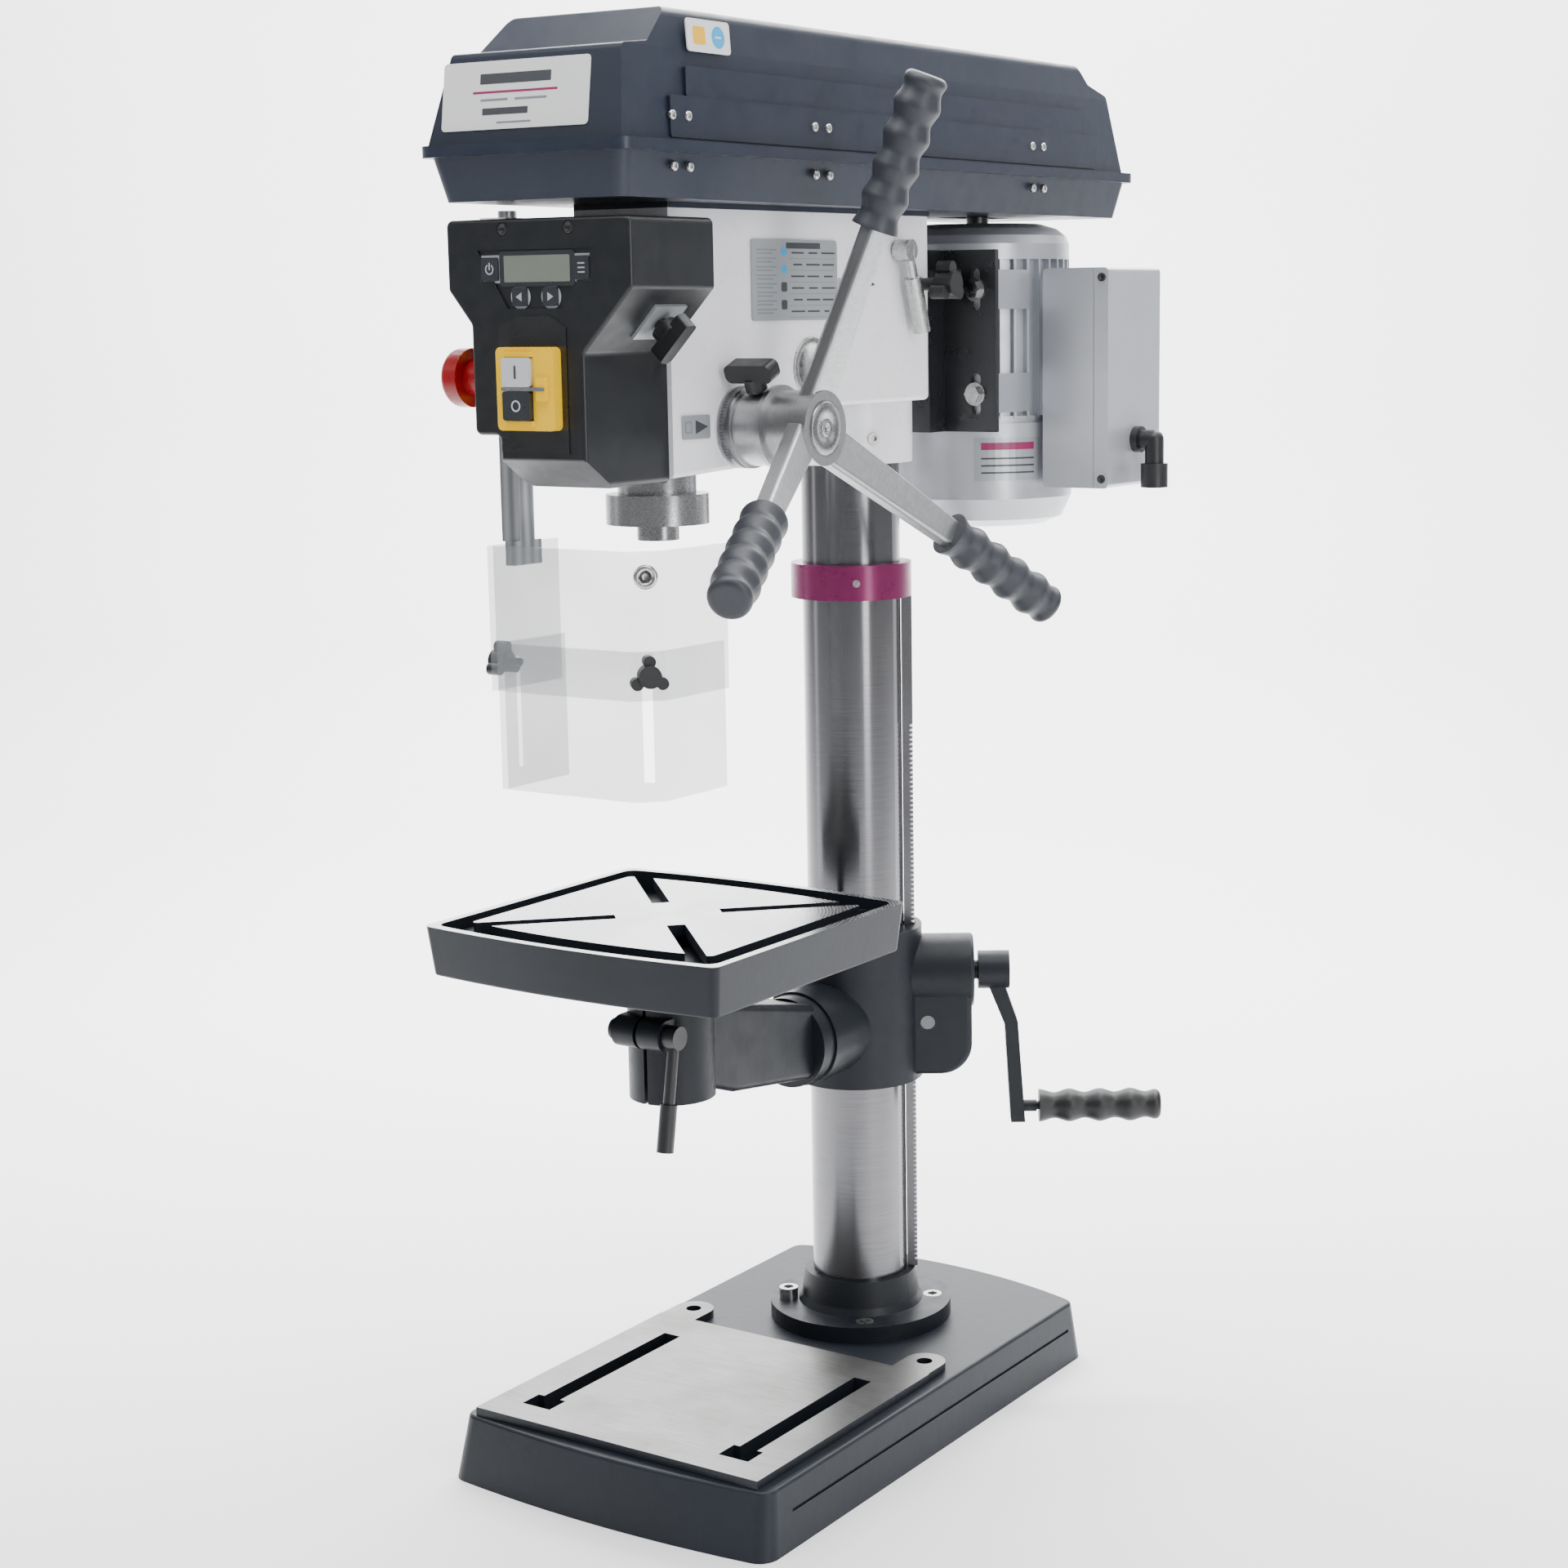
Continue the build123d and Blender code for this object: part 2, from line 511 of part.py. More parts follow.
def make_table():
    arm = cyl(SOCKET_R, SOCKET_LOW, SOCKET_HIGH, 0, SPINDLE_Y)
    flange_rear = TILT_FACE - GAP
    arm += cyl_y(TILT_R - 2, flange_rear - 15, flange_rear, 0, TILT_Z)
    side = [(flange_rear - 8, 345), (SPINDLE_Y, 382), (SPINDLE_Y, 318), (SPINDLE_Y + 50, 300), (flange_rear - 8, 284)]
    web = side_prism(side, -25, 25)
    arm += fillet(web.edges().filter_by(Axis.X, reverse=True), 6)
    ear_y = SPINDLE_Y - SOCKET_R - 1
    arm += cyl_x(12, -22, 22, ear_y, 364) + block(-22, 22, ear_y, SPINDLE_Y, 352, 376)
    arm += cyl_y(SPIGOT_R, flange_rear - 1, TILT_FACE + 30, 0, TILT_Z)
    arm -= cyl(STEM_R + RUN, SOCKET_LOW - 1, SOCKET_HIGH + 1, 0, SPINDLE_Y)
    arm -= block(-1.5, 1.5, ear_y - 14, SPINDLE_Y, SOCKET_LOW - 1, SOCKET_HIGH + 1)
    arm -= cyl_x(5 + RUN, -23, 23, ear_y, 364)
    node("table_arm", arm)
    lever = cyl_x(5, -26, 30, ear_y, 364) + cyl_x(9, 23, 34, ear_y, 364) + cyl_x(8, -28, -23, ear_y, 364)
    lever += Pos(28.5, ear_y, 364) * Rot(-10, 0, 0) * (cyl(4.5, -62, 0) + cyl(6.5, -86, -50))
    node("table_lever", lever)

    low = TABLE_TOP - TABLE_RISE
    outer = bowed(TABLE_HALF_X, -TABLE_HALF_Y, TABLE_HALF_Y, TABLE_BOW, TABLE_BOW, 7)
    under = bowed(TABLE_HALF_X - 4, -TABLE_HALF_Y + 4, TABLE_HALF_Y - 4, TABLE_BOW, TABLE_BOW, 6)
    table = loft([Pos(0, 0, low) * under, Pos(0, 0, TABLE_TOP) * outer])
    table = fillet(table.faces().sort_by(Axis.Z)[0].edges(), 2)
    rib = bowed(TABLE_HALF_X - 13, -TABLE_HALF_Y + 13, TABLE_HALF_Y - 13, TABLE_BOW, TABLE_BOW, 4)
    table -= Pos(0, 0, low - 1) * extrude(rib, TABLE_RISE - TABLE_SLAB + 1)
    rim = TABLE_RIM
    moat_out = bowed(TABLE_HALF_X - rim, -TABLE_HALF_Y + rim, TABLE_HALF_Y - rim, TABLE_BOW, TABLE_BOW, 10)
    pad = rim + MOAT
    pad_y = TABLE_HALF_Y - pad - MOAT_EXTRA_Y
    moat_in = bowed(TABLE_HALF_X - pad, -pad_y, pad_y, TABLE_BOW, TABLE_BOW, 4)
    table -= Pos(0, 0, TABLE_TOP - MOAT_DEEP) * extrude(moat_out - moat_in, MOAT_DEEP + 1)
    table += cyl(STEM_R, SOCKET_LOW + 6, TABLE_TOP - TABLE_SLAB + 1)
    table += cyl(SOCKET_R + 9, SOCKET_HIGH + GAP, TABLE_TOP - TABLE_SLAB + 1)
    reach = TABLE_HALF_X * 1.3
    slots = []
    for k in range(4):
        neck = block(TEE_INNER, reach, -TEE_W / 2, TEE_W / 2, TABLE_TOP - TEE_NECK_H - 1, TABLE_TOP + 1)
        head_low = TABLE_TOP - TEE_NECK_H - TEE_HEAD_H
        head = block(TEE_INNER - 5, reach, -TEE_HEAD_W / 2, TEE_HEAD_W / 2, head_low, TABLE_TOP - TEE_NECK_H)
        slots.append(Rot(0, 0, 45 + 90 * k) * (neck + head))
    within = Pos(0, 0, TABLE_TOP - 30) * extrude(moat_out, 40)
    for slot in slots:
        table -= slot & within
    node("drill_table", Pos(0, SPINDLE_Y, 0) * table)


# ================================================================ head
def head_outline(shrink=0.0):
    f, r = HEAD_FRONT_HALF - shrink, HEAD_REAR_HALF - shrink
    return [(-f, HEAD_FRONT), (f, HEAD_FRONT), (r, HEAD_SIDE_END), (30, HEAD_REAR), (-30, HEAD_REAR),
            (-r, HEAD_SIDE_END)]


def make_head():
    plan = make_face(Polyline(*head_outline(), close=True))
    rear = plan.vertices().sort_by(Axis.Y)[-4:]
    plan = fillet(rear, 14)
    body = Pos(0, 0, COLLAR_LOW) * extrude(plan, HEAD_TOP - COLLAR_LOW)
    below = [(HEAD_FRONT - 1, COLLAR_LOW - 1), (HEAD_REAR + 1, COLLAR_LOW - 1), (HEAD_REAR + 1, HEAD_STEP + 1),
             (-112, HEAD_STEP), (-150, HEAD_STEP - 12), (-190, HEAD_LOW + 5), (HEAD_FRONT - 1, HEAD_LOW)]
    body -= side_prism(below, -90, 90)
    sides = [e for e in body.edges() if abs(e.center().X) > 20 and e.center().Z < HEAD_STEP + 1
             and e.center().Y > HEAD_FRONT + 1]
    body = fillet(sides, 4)
    body += cyl(COLLAR_R, COLLAR_LOW, HEAD_STEP + 2)
    body += cyl_x(30, -HEAD_FRONT_HALF - 3, HEAD_FRONT_HALF + 4, FEED_Y, FEED_Z)
    # lug on the left for the chip guard's rod
    lug = block(ROD[0] - ROD_W, ROD[0] + ROD_W / 2, ROD[1] - 14, ROD[1] + 14, 930, HEAD_TOP - 4)
    lug = fillet(upright(lug), 5)
    lug += block(ROD[0] - ROD_W, -HEAD_FRONT_HALF + 4, PANEL_REAR, PANEL_REAR + 16, 930, HEAD_TOP - 4)
    body += lug
    body -= cyl(COLUMN_R + SEAT, COLLAR_LOW - 1, COLUMN_TOP)
    body -= cyl(QUILL_R + RUN, COLLAR_LOW - 10, QUILL_TOP + 8, 0, SPINDLE_Y)
    body -= cyl(18.5, QUILL_TOP + 7, HEAD_TOP + 1, 0, SPINDLE_Y)
    hollow = [(-30, -190), (30, -190), (44, -62), (-44, -62)]
    body -= prism(hollow, 845, HEAD_TOP - 8)
    body -= cyl_x(FEED_PITCH_R + 3, -15, 15, FEED_Y, FEED_Z)
    body -= cyl_x(FEED_SHAFT_R + RUN, -70, 70, FEED_Y, FEED_Z)
    body -= cyl(ROD_R + RUN, 900, HEAD_TOP + 1, ROD[0], ROD[1])
    for side in (-1, 1):
        body -= cyl_y(BAR_R + RUN, BAR_FRONT - 24, HEAD_REAR + 1, side * BAR_X, BAR_Z)
        a = -90 + side * 55
        seat = Pos(COLLAR_R * cos(radians(a)), COLLAR_R * sin(radians(a)), 795) * Rot(0, 0, a)
        body -= seat * cyl_x(5 + SEAT, -COLLAR_R + COLUMN_R - 1, 4)
    body -= cyl(7 + RUN, 938, HEAD_TOP + 1, *ARM_PIVOT)
    body -= cyl_x(6 + RUN, 44, 70, *LEVER)
    body -= cyl_x(5 + RUN, BAR_X, 70, *LOCK)
    node("head_casting", body)
    node("spring_case", spring_case())
    ring = cyl_x(24, -66, -54, FEED_Y, FEED_Z) - cyl_x(FEED_SHAFT_R + 1, -67, -53, FEED_Y, FEED_Z)
    node("return_spring", ring)


def spring_case():
    face = -HEAD_FRONT_HALF - 8
    case = cyl_x(31, -72, face, FEED_Y, FEED_Z)
    case -= cyl_x(27, -69, face - 3, FEED_Y, FEED_Z)
    case -= cyl_x(FEED_SHAFT_R + 0.6, -70, face + 1, FEED_Y, FEED_Z)
    return case


def make_plates():
    """Thin plates: data plate and pointer on the head, display window, rotary switch plate."""
    slope = (HEAD_REAR_HALF - HEAD_FRONT_HALF) / (HEAD_SIDE_END - HEAD_FRONT)
    turn = degrees(atan2(HEAD_REAR_HALF - HEAD_FRONT_HALF, HEAD_SIDE_END - HEAD_FRONT))
    plates = []
    for y, z, length, height in ((-148.0, 918.0, 104.0, 58.0), (-268.0, FEED_Z + 2, 30.0, 16.0)):
        x = HEAD_FRONT_HALF + slope * (y - HEAD_FRONT) + 0.55
        plates.append(Pos(x, y, z) * Rot(0, 0, -turn) * Box(0.8, length, height))
    plates.append(facet_place() * Pos(0, 0, 1.4) * (Box(31, 35, 2.4) - Cylinder(5 + RUN, 5)))
    plates.append(block(-29, 28, PANEL_FRONT + 0.2, PANEL_FRONT + 1.2, 917, 935))
    node("small_plates", Compound(children=plates))


# ================================================================ spindle, quill and feed
def make_spindle():
    quill = cyl(QUILL_R, QUILL_LOW - 1, QUILL_TOP, 0, SPINDLE_Y)
    quill += cyl(COLLET_R, QUILL_LOW - COLLET_H, QUILL_LOW, 0, SPINDLE_Y)
    quill -= cyl(QUILL_BORE_R, QUILL_LOW - COLLET_H - 1, QUILL_TOP + 1, 0, SPINDLE_Y)
    pitch = pi * FEED_MODULE
    below = int((FEED_Z - QUILL_LOW - 8) / pitch)
    above = int((QUILL_TOP - FEED_Z - 8) / pitch)
    gaps = rack_gaps(FEED_MODULE, FEED_Z - below * pitch, below + above + 1, QUILL_R, 2.1)
    cuts = [Pos(0, SPINDLE_Y, 0) * Rot(0, 0, 90) * front_prism(o, -12, 12) for o in gaps]
    quill -= cuts
    node("quill", quill)
    bearings = []
    for low in (QUILL_LOW - COLLET_H + 2, QUILL_TOP - 14):
        ring = cyl(QUILL_BORE_R - SEAT, low, low + 12, 0, SPINDLE_Y)
        bearings.append(ring - cyl(SPINDLE_R + RUN, low - 1, low + 13, 0, SPINDLE_Y))
    node("quill_bearings", Compound(children=bearings))
    spindle = cyl(SPINDLE_R, QUILL_LOW - COLLET_H - 1, QUILL_TOP + 2, 0, SPINDLE_Y)
    spindle += cyl(NOSE_R, NOSE_LOW, QUILL_LOW - COLLET_H - GAP, 0, SPINDLE_Y)
    spindle += cyl(SPINDLE_UP_R, QUILL_TOP, SPINDLE_TOP, 0, SPINDLE_Y)
    taper = turned([(0, NOSE_LOW), (TAPER_MOUTH_R, NOSE_LOW), (TAPER_END_R, NOSE_LOW + TAPER_L), (0, NOSE_LOW + TAPER_L)])
    spindle -= Pos(0, SPINDLE_Y, 0) * taper
    node("spindle", spindle)
    wheel = stepped_pulley(SPINDLE_STEPS, SPINDLE_Y)
    wheel += cyl(18, HEAD_TOP - 26, PULLEY_LOW + 1, 0, SPINDLE_Y)
    wheel -= cyl(SPINDLE_UP_R + RUN, HEAD_TOP - 30, SPINDLE_TOP, 0, SPINDLE_Y)
    node("spindle_pulley", wheel)


def stepped_pulley(steps, y):
    points = [(0, PULLEY_LOW)]
    for k, r in enumerate(steps):
        z = PULLEY_LOW + k * STEP_H
        points += [(r, z), (r, z + 3), (r - GROOVE, z + 6), (r - GROOVE, z + 12), (r, z + 15), (r, z + STEP_H)]
    points.append((0, PULLEY_LOW + len(steps) * STEP_H))
    return Pos(0, y, 0) * turned(points)


def belt(r1, y1, r2, y2, level):
    """Closed belt round two pulleys on the Y axis; radii are the groove steps'."""
    d = y2 - y1
    phi = acos((r1 - r2) / d)

    def loop(inset):
        a, b = r1 - inset, r2 - inset
        band = Pos(0, y1) * Circle(a) + Pos(0, y2) * Circle(b)
        pts = [(a * sin(phi), y1 + a * cos(phi)), (b * sin(phi), y2 + b * cos(phi)),
               (-b * sin(phi), y2 + b * cos(phi)), (-a * sin(phi), y1 + a * cos(phi))]
        return band + make_face(Polyline(*pts, close=True))

    z = PULLEY_LOW + level * STEP_H + STEP_H / 2 - BELT_H / 2
    return Pos(0, 0, z) * extrude(loop(1.0) - loop(GROOVE - 0.4), BELT_H)


def make_drive():
    arm = Pos(0, 0, 977) * extrude(
        Pos(*ARM_PIVOT) * Circle(14) + Pos(0, CENTRE_Y) * Circle(16), 8)
    dx, dy = ARM_PIVOT[0], ARM_PIVOT[1] - CENTRE_Y
    bar = Box(hypot(dx, dy), 22, 8)
    arm += Pos(dx / 2, CENTRE_Y + dy / 2, 981) * Rot(0, 0, degrees(atan2(dy, dx))) * bar
    arm += cyl(7, 940, 978, *ARM_PIVOT) + cyl(7, 980, 1052, 0, CENTRE_Y)
    node("centre_arm", arm)
    node("centre_pulley", stepped_pulley(CENTRE_STEPS, CENTRE_Y) - cyl(7 + RUN, 980, 1060, 0, CENTRE_Y))
    node("front_belt", belt(SPINDLE_STEPS[0], SPINDLE_Y, CENTRE_STEPS[0], CENTRE_Y, 0))
    node("rear_belt", belt(CENTRE_STEPS[2], CENTRE_Y, MOTOR_STEPS[2], MOTOR_Y, 2))
    node("motor_pulley", stepped_pulley(MOTOR_STEPS, MOTOR_Y) - cyl(SHAFT_R + SEAT, 980, 1060, 0, MOTOR_Y))


def make_feed():
    shaft = cyl_x(FEED_SHAFT_R, -70, 86, FEED_Y, FEED_Z)
    teeth = Pos(0, FEED_Y, FEED_Z) * Rot(0, 90, 0) * Rot(0, 0, -90) * gear(FEED_MODULE, FEED_TEETH, 24)
    node("pinion_shaft", shaft + teeth)
    hub = cyl_x(HUB_R, 84, HUB_FACE, FEED_Y, FEED_Z) + cyl_x(31, 81, 85, FEED_Y, FEED_Z)
    hub += cyl_x(14, 49, 82, FEED_Y, FEED_Z)
    run = ARM_END[0] - ARM_ROOT[0]
    rise = ARM_END[1] - ARM_ROOT[1]
    length = hypot(run, rise)
    lean = degrees(atan2(run, rise))
    grips = []
    for phase in ARM_PHASES:
        place = Pos(0, FEED_Y, FEED_Z) * Rot(phase - 90, 0, 0) * Pos(ARM_ROOT[0], 0, ARM_ROOT[1]) * Rot(0, lean, 0)
        root = RectangleRounded(ARM_THICK, ARM_ROOT_W, 3)
        tip = Pos(0, 0, length - GRIP_L) * RectangleRounded(ARM_THICK, ARM_TIP_W, 3)
        hub += place * loft([root, tip])
        hub += place * cyl(6, length - GRIP_L - 2, length - 20)
        grip = waved_grip(GRIP_L, GRIP_R, 5) - cyl(6 + SEAT, -1, GRIP_L - 18)
        grips.append(place * Pos(0, 0, length - GRIP_L) * grip)
    hub -= cyl_x(FEED_SHAFT_R + SEAT, 40, 87, FEED_Y, FEED_Z)
    hub -= cyl_x(20.5, HUB_FACE - 0.8, HUB_FACE + 1, FEED_Y, FEED_Z) - cyl_x(20, HUB_FACE - 2, HUB_FACE + 2, FEED_Y, FEED_Z)
    hub -= Pos(HUB_FACE - 6, FEED_Y, FEED_Z) * Rot(0, 90, 0) * extrude(RegularPolygon(4.6, 6), 8)
    node("feed_handle", hub)
    node("handle_grips", Compound(children=grips))
    ring = cyl_x(30, 49, 59, FEED_Y, FEED_Z) + cyl_x(28, 59, 80, FEED_Y, FEED_Z)
    ring -= cyl_x(14 + RUN, 48, 81, FEED_Y, FEED_Z)
    knob_turn = Pos(0, FEED_Y, FEED_Z) * Rot(24, 0, 0)
    ring -= knob_turn * cyl(4 + RUN, 16, 32, 71, 0)
    node("depth_ring", ring)
    wing = cyl(4, 18, 40, 71, 0) + cyl(8, 30, 40, 71, 0)
    wing += fillet(block(51, 91, -6.5, 6.5, 38, 52).edges().filter_by(Axis.Y), 5)
    node("depth_knob", knob_turn * wing)


# ================================================================ belt case
def pan_solid(inset, low, high):
    def outline(draft):
        h = RIM_HALF - LID_INSET + 2 - draft - inset
        return Pos(0, (RIM_FRONT + RIM_REAR) / 2) * RectangleRounded(
            2 * h, RIM_REAR - RIM_FRONT - 2 * (LID_INSET - 2) - 2 * draft - 2 * inset, 10 - inset)
    return loft([Pos(0, 0, low) * outline(PAN_DRAFT), Pos(0, 0, high) * outline(0)])


def lid_solid(inset):
    half = RIM_HALF - LID_INSET - inset
    front = RIM_FRONT + LID_INSET + inset
    rear = RIM_REAR - LID_INSET - 8 - inset
    low = RIM_Z + 0.4
    side = [(front, low - 1), (front + 8, PLATEAU_Z - inset), (front + 36, PLATEAU_Z + 3 - inset),
            (front + 62, LID_TOP - inset), (rear - 68, LID_TOP - 2 - inset), (rear - 52, LID_TOP - 17 - inset),
            (rear - 22, LID_TOP - 25 - inset), (rear, low - 1)]
    cross = [(-half, low - 1), (-half + 18, PLATEAU_Z - inset), (-half + 27, LID_TOP - inset), (half - 8, LID_TOP - inset),
             (half - 4, PLATEAU_Z - inset), (half, low - 1)]
    along = side_prism(side, -100, 100)
    across = front_prism(cross, RIM_FRONT - 5, RIM_REAR + 5)
    if not inset:
        along = fillet([e for e in along.edges().filter_by(Axis.X) if e.center().Z > low + 5], LID_EDGE)
        across = fillet([e for e in across.edges().filter_by(Axis.Y) if e.center().Z > LID_TOP - inset - 1], 2 * LID_EDGE)
    return along & across


def make_case():
    pan = pan_solid(0, PAN_LOW, RIM_Z - 1) - pan_solid(PAN_WALL, PAN_LOW + PAN_WALL, RIM_Z)
    mid = (RIM_FRONT + RIM_REAR) / 2
    span = RIM_REAR - RIM_FRONT
    rim = Pos(0, mid, RIM_Z - RIM_H) * extrude(RectangleRounded(2 * RIM_HALF, span, 14), RIM_H)
    rim -= Pos(0, mid, RIM_Z - RIM_H - 1) * extrude(RectangleRounded(2 * RIM_HALF - 22, span - 22, 8), RIM_H + 2)
    pan += rim
    pan -= cyl(20, PAN_LOW - 1, PAN_LOW + 10, 0, SPINDLE_Y)
    pan -= cyl(9, PAN_LOW - 1, PAN_LOW + 10, *ARM_PIVOT)
    slot = block(-16, 16, MOTOR_Y - 40, MOTOR_Y + 30, PAN_LOW - 1, PAN_LOW + 10)
    pan -= slot
    # seating plate under the pan, on top of the head casting
    plate = prism(head_outline(), HEAD_TOP, PAN_LOW)
    plate -= cyl(20, HEAD_TOP - 1, PAN_LOW + 1, 0, SPINDLE_Y)
    plate -= cyl(9, HEAD_TOP - 1, PAN_LOW + 1, *ARM_PIVOT)
    pan += plate
    node("belt_pan", pan)
    lid = lid_solid(0) - lid_solid(PAN_WALL)
    lid &= block(-200, 200, -500, 500, RIM_Z + 0.4, 1200)
    half = RIM_HALF - LID_INSET
    for k, (front, low, high) in enumerate(((-345.0, RIM_Z + 2, 1040.0), (-325.0, 1040.0, 1060.0))):
        rib = block(half - 12, half + 1.2 - 1.4 * k, front, 262 - 24 * k, low, high)
        lid += fillet(rib.edges().filter_by(Axis.X), 2) - lid_solid(PAN_WALL)
    node("belt_lid", lid)


# ================================================================ motor
def make_motor():
    plate = block(-PLATE_INNER, PLATE_INNER, PLATE_WEB_Y, PLATE_WEB_Y + PLATE_T, PLATE_LOW, PLATE_HIGH)
    for side in (-1, 1):
        x0, x1 = sorted((side * PLATE_INNER, side * (PLATE_INNER - PLATE_T)))
        plate += block(x0, x1, PLATE_WEB_Y, PLATE_Y + PLATE_T, PLATE_LOW, PLATE_HIGH)
        x0, x1 = sorted((side * (PLATE_INNER - PLATE_T), side * PLATE_HALF))
        plate += block(x0, x1, PLATE_Y, PLATE_Y + PLATE_T, PLATE_LOW, PLATE_HIGH)
        lug = block(*sorted((side * (PLATE_INNER - 2), side * (BAR_X + 9))), PLATE_WEB_Y, PLATE_WEB_Y + PLATE_T,
                    BAR_Z - 12, BAR_Z + 12)
        plate += lug
        for z in BOLT_Z:
            hole = Pos(side * BOLT_X, PLATE_Y + PLATE_T + 1, z) * Rot(90, 0, 0)
            plate -= hole * extrude(SlotOverall(34, 9, rotation=90), PLATE_T + 2)
    node("motor_plate", plate)
    bars = [cyl_y(BAR_R, BAR_FRONT, PLATE_WEB_Y, side * BAR_X, BAR_Z) for side in (-1, 1)]
    node("slide_bars", Compound(children=bars))

    body = cyl(MOTOR_R, COWL_TOP + 1, FINS_TOP, 0, MOTOR_Y)
    count = 40
    for k in range(count):
        a = 360 * k / count
        fin = block(MOTOR_R - 2, FIN_R, -1.1, 1.1, COWL_TOP + 4, FINS_TOP - 2)
        body += Pos(0, MOTOR_Y, 0) * Rot(0, 0, a) * fin
    bell = turned([(0, FINS_TOP - 2), (FIN_R, FINS_TOP - 2), (FIN_R, FINS_TOP + 11), (FIN_R - 3, FINS_TOP + 18),
                   (FIN_R - 11, MOTOR_TOP - 4), (FIN_R - 24, MOTOR_TOP), (0, MOTOR_TOP)])
    body += Pos(0, MOTOR_Y, 0) * bell
    body += cyl(FIN_R - 1, COWL_TOP - 6, COWL_TOP + 6, 0, MOTOR_Y)
    foot_y = PLATE_Y + PLATE_T
    for side in (-1, 1):
        for z in BOLT_Z:
            body += block(side * BOLT_X - 11, side * BOLT_X + 11, foot_y, MOTOR_Y - 35, z - 16, z + 16)
            body -= cyl_y(4 + SEAT, foot_y - 1, foot_y + 26, side * BOLT_X, z)
    body += block(40, BOX_IN, BOX_FRONT + 10, BOX_REAR - 10, BOX_LOW + 60, BOX_HIGH - 8)
    body -= cyl(SHAFT_R + 2, COWL_TOP - 20, MOTOR_TOP + 1, 0, MOTOR_Y)
    body -= cyl(MOTOR_R - 9, COWL_TOP + 8, FINS_TOP - 10, 0, MOTOR_Y)
    node("motor_body", body)

    cowl = turned([(0, COWL_LOW), (COWL_R - 22, COWL_LOW), (COWL_R - 8, COWL_LOW + 6), (COWL_R, COWL_LOW + 24),
                   (COWL_R, COWL_TOP), (0, COWL_TOP)])
    inner = turned([(0, COWL_LOW + 2), (COWL_R - 23, COWL_LOW + 2), (COWL_R - 10, COWL_LOW + 8),
                    (COWL_R - 2, COWL_LOW + 25), (COWL_R - 2, COWL_TOP - 7), (FIN_R - 1 + SEAT, COWL_TOP - 7),
                    (FIN_R - 1 + SEAT, COWL_TOP + 1), (0, COWL_TOP + 1)])
    cowl -= inner
    holes = []
    for ring, number in ((12, 6), (22, 12), (32, 18)):
        for k in range(number):
            a = 2 * pi * k / number
            holes.append(cyl(2.6, COWL_LOW - 1, COWL_LOW + 4, ring * cos(a), ring * sin(a)))
    cowl -= holes
    node("fan_cowl", Pos(0, MOTOR_Y, 0) * cowl)

    rotor = cyl(SHAFT_R, COWL_LOW + 20, PULLEY_LOW + 3 * STEP_H + 1, 0, MOTOR_Y)
    rotor += cyl(44, COWL_TOP + 24, FINS_TOP - 26, 0, MOTOR_Y)
    rotor += cyl(14, COWL_LOW + 28, COWL_LOW + 52, 0, MOTOR_Y)
    for k in range(8):
        blade = block(8, 56, -1.2, 1.2, COWL_LOW + 30, COWL_LOW + 50)
        rotor += Pos(0, MOTOR_Y, 0) * Rot(0, 0, 45 * k) * blade
    node("motor_rotor", rotor)

    box = block(BOX_IN, BOX_OUT, BOX_FRONT, BOX_REAR, BOX_LOW, BOX_HIGH)
    box = fillet(box.edges().filter_by(Axis.Y), 4)
    box -= block(BOX_IN + 3, BOX_OUT - 3, BOX_FRONT + 3, BOX_REAR - 3, BOX_LOW + 3, BOX_HIGH - 3)
    box -= block(BOX_OUT - 14, BOX_OUT - 13, BOX_FRONT - 1, BOX_FRONT + 0.8, BOX_LOW, BOX_HIGH)
    box -= cyl_x(8 + SEAT, BOX_OUT - 4, BOX_OUT + 1, GLAND_Y, GLAND_Z)
    node("terminal_box", box)
    gland = cyl_x(8, BOX_OUT - 5, BOX_OUT + 6, GLAND_Y, GLAND_Z) + cyl_x(11, BOX_OUT, BOX_OUT + 6, GLAND_Y, GLAND_Z)
    elbow_x = BOX_OUT + 18
    gland += cyl_x(8, BOX_OUT + 5, elbow_x, GLAND_Y, GLAND_Z) + Pos(elbow_x, GLAND_Y, GLAND_Z) * Sphere(8)
    gland += cyl(8, GLAND_Z - 22, GLAND_Z, elbow_x, GLAND_Y) + cyl(11.5, GLAND_Z - 40, GLAND_Z - 20, elbow_x, GLAND_Y)
    gland -= cyl(4.5, GLAND_Z - 41, GLAND_Z - 12, elbow_x, GLAND_Y)
    node("cable_gland", gland)

    screws = []
    for side in (-1, 1):
        for z in BOLT_Z:
            x = side * BOLT_X
            bolt = cyl_y(4, PLATE_Y - 2, foot_y + 24, x, z) + cyl_y(9.5, PLATE_Y - 2.2, PLATE_Y - 0.0, x, z)
            bolt += Pos(x, PLATE_Y - 2, z) * Rot(90, 0, 0) * extrude(RegularPolygon(7.2, 6), 5.5)
            screws.append(bolt)
    node("motor_bolts", Compound(children=screws))

    shaft = cyl_x(6, 45, 66, *LEVER) + cyl_x(8.5, HEAD_REAR_HALF + 0.5, 72, *LEVER)
    reach = Pos(68, *LEVER)
    shaft += reach * Rot(18, 0, 0) * cyl(4.5, -30, 0)
    shaft += Pos(68, *LEVER) * Rot(18, 0, 0) * cyl(7, -66, -22)
    node("tension_lever", shaft)
    lock = cyl_x(5, BAR_X + BAR_R + 1.2, 76, *LOCK) + Pos(76, *LOCK) * star_knob(18, 16)
    node("lock_knob", lock)


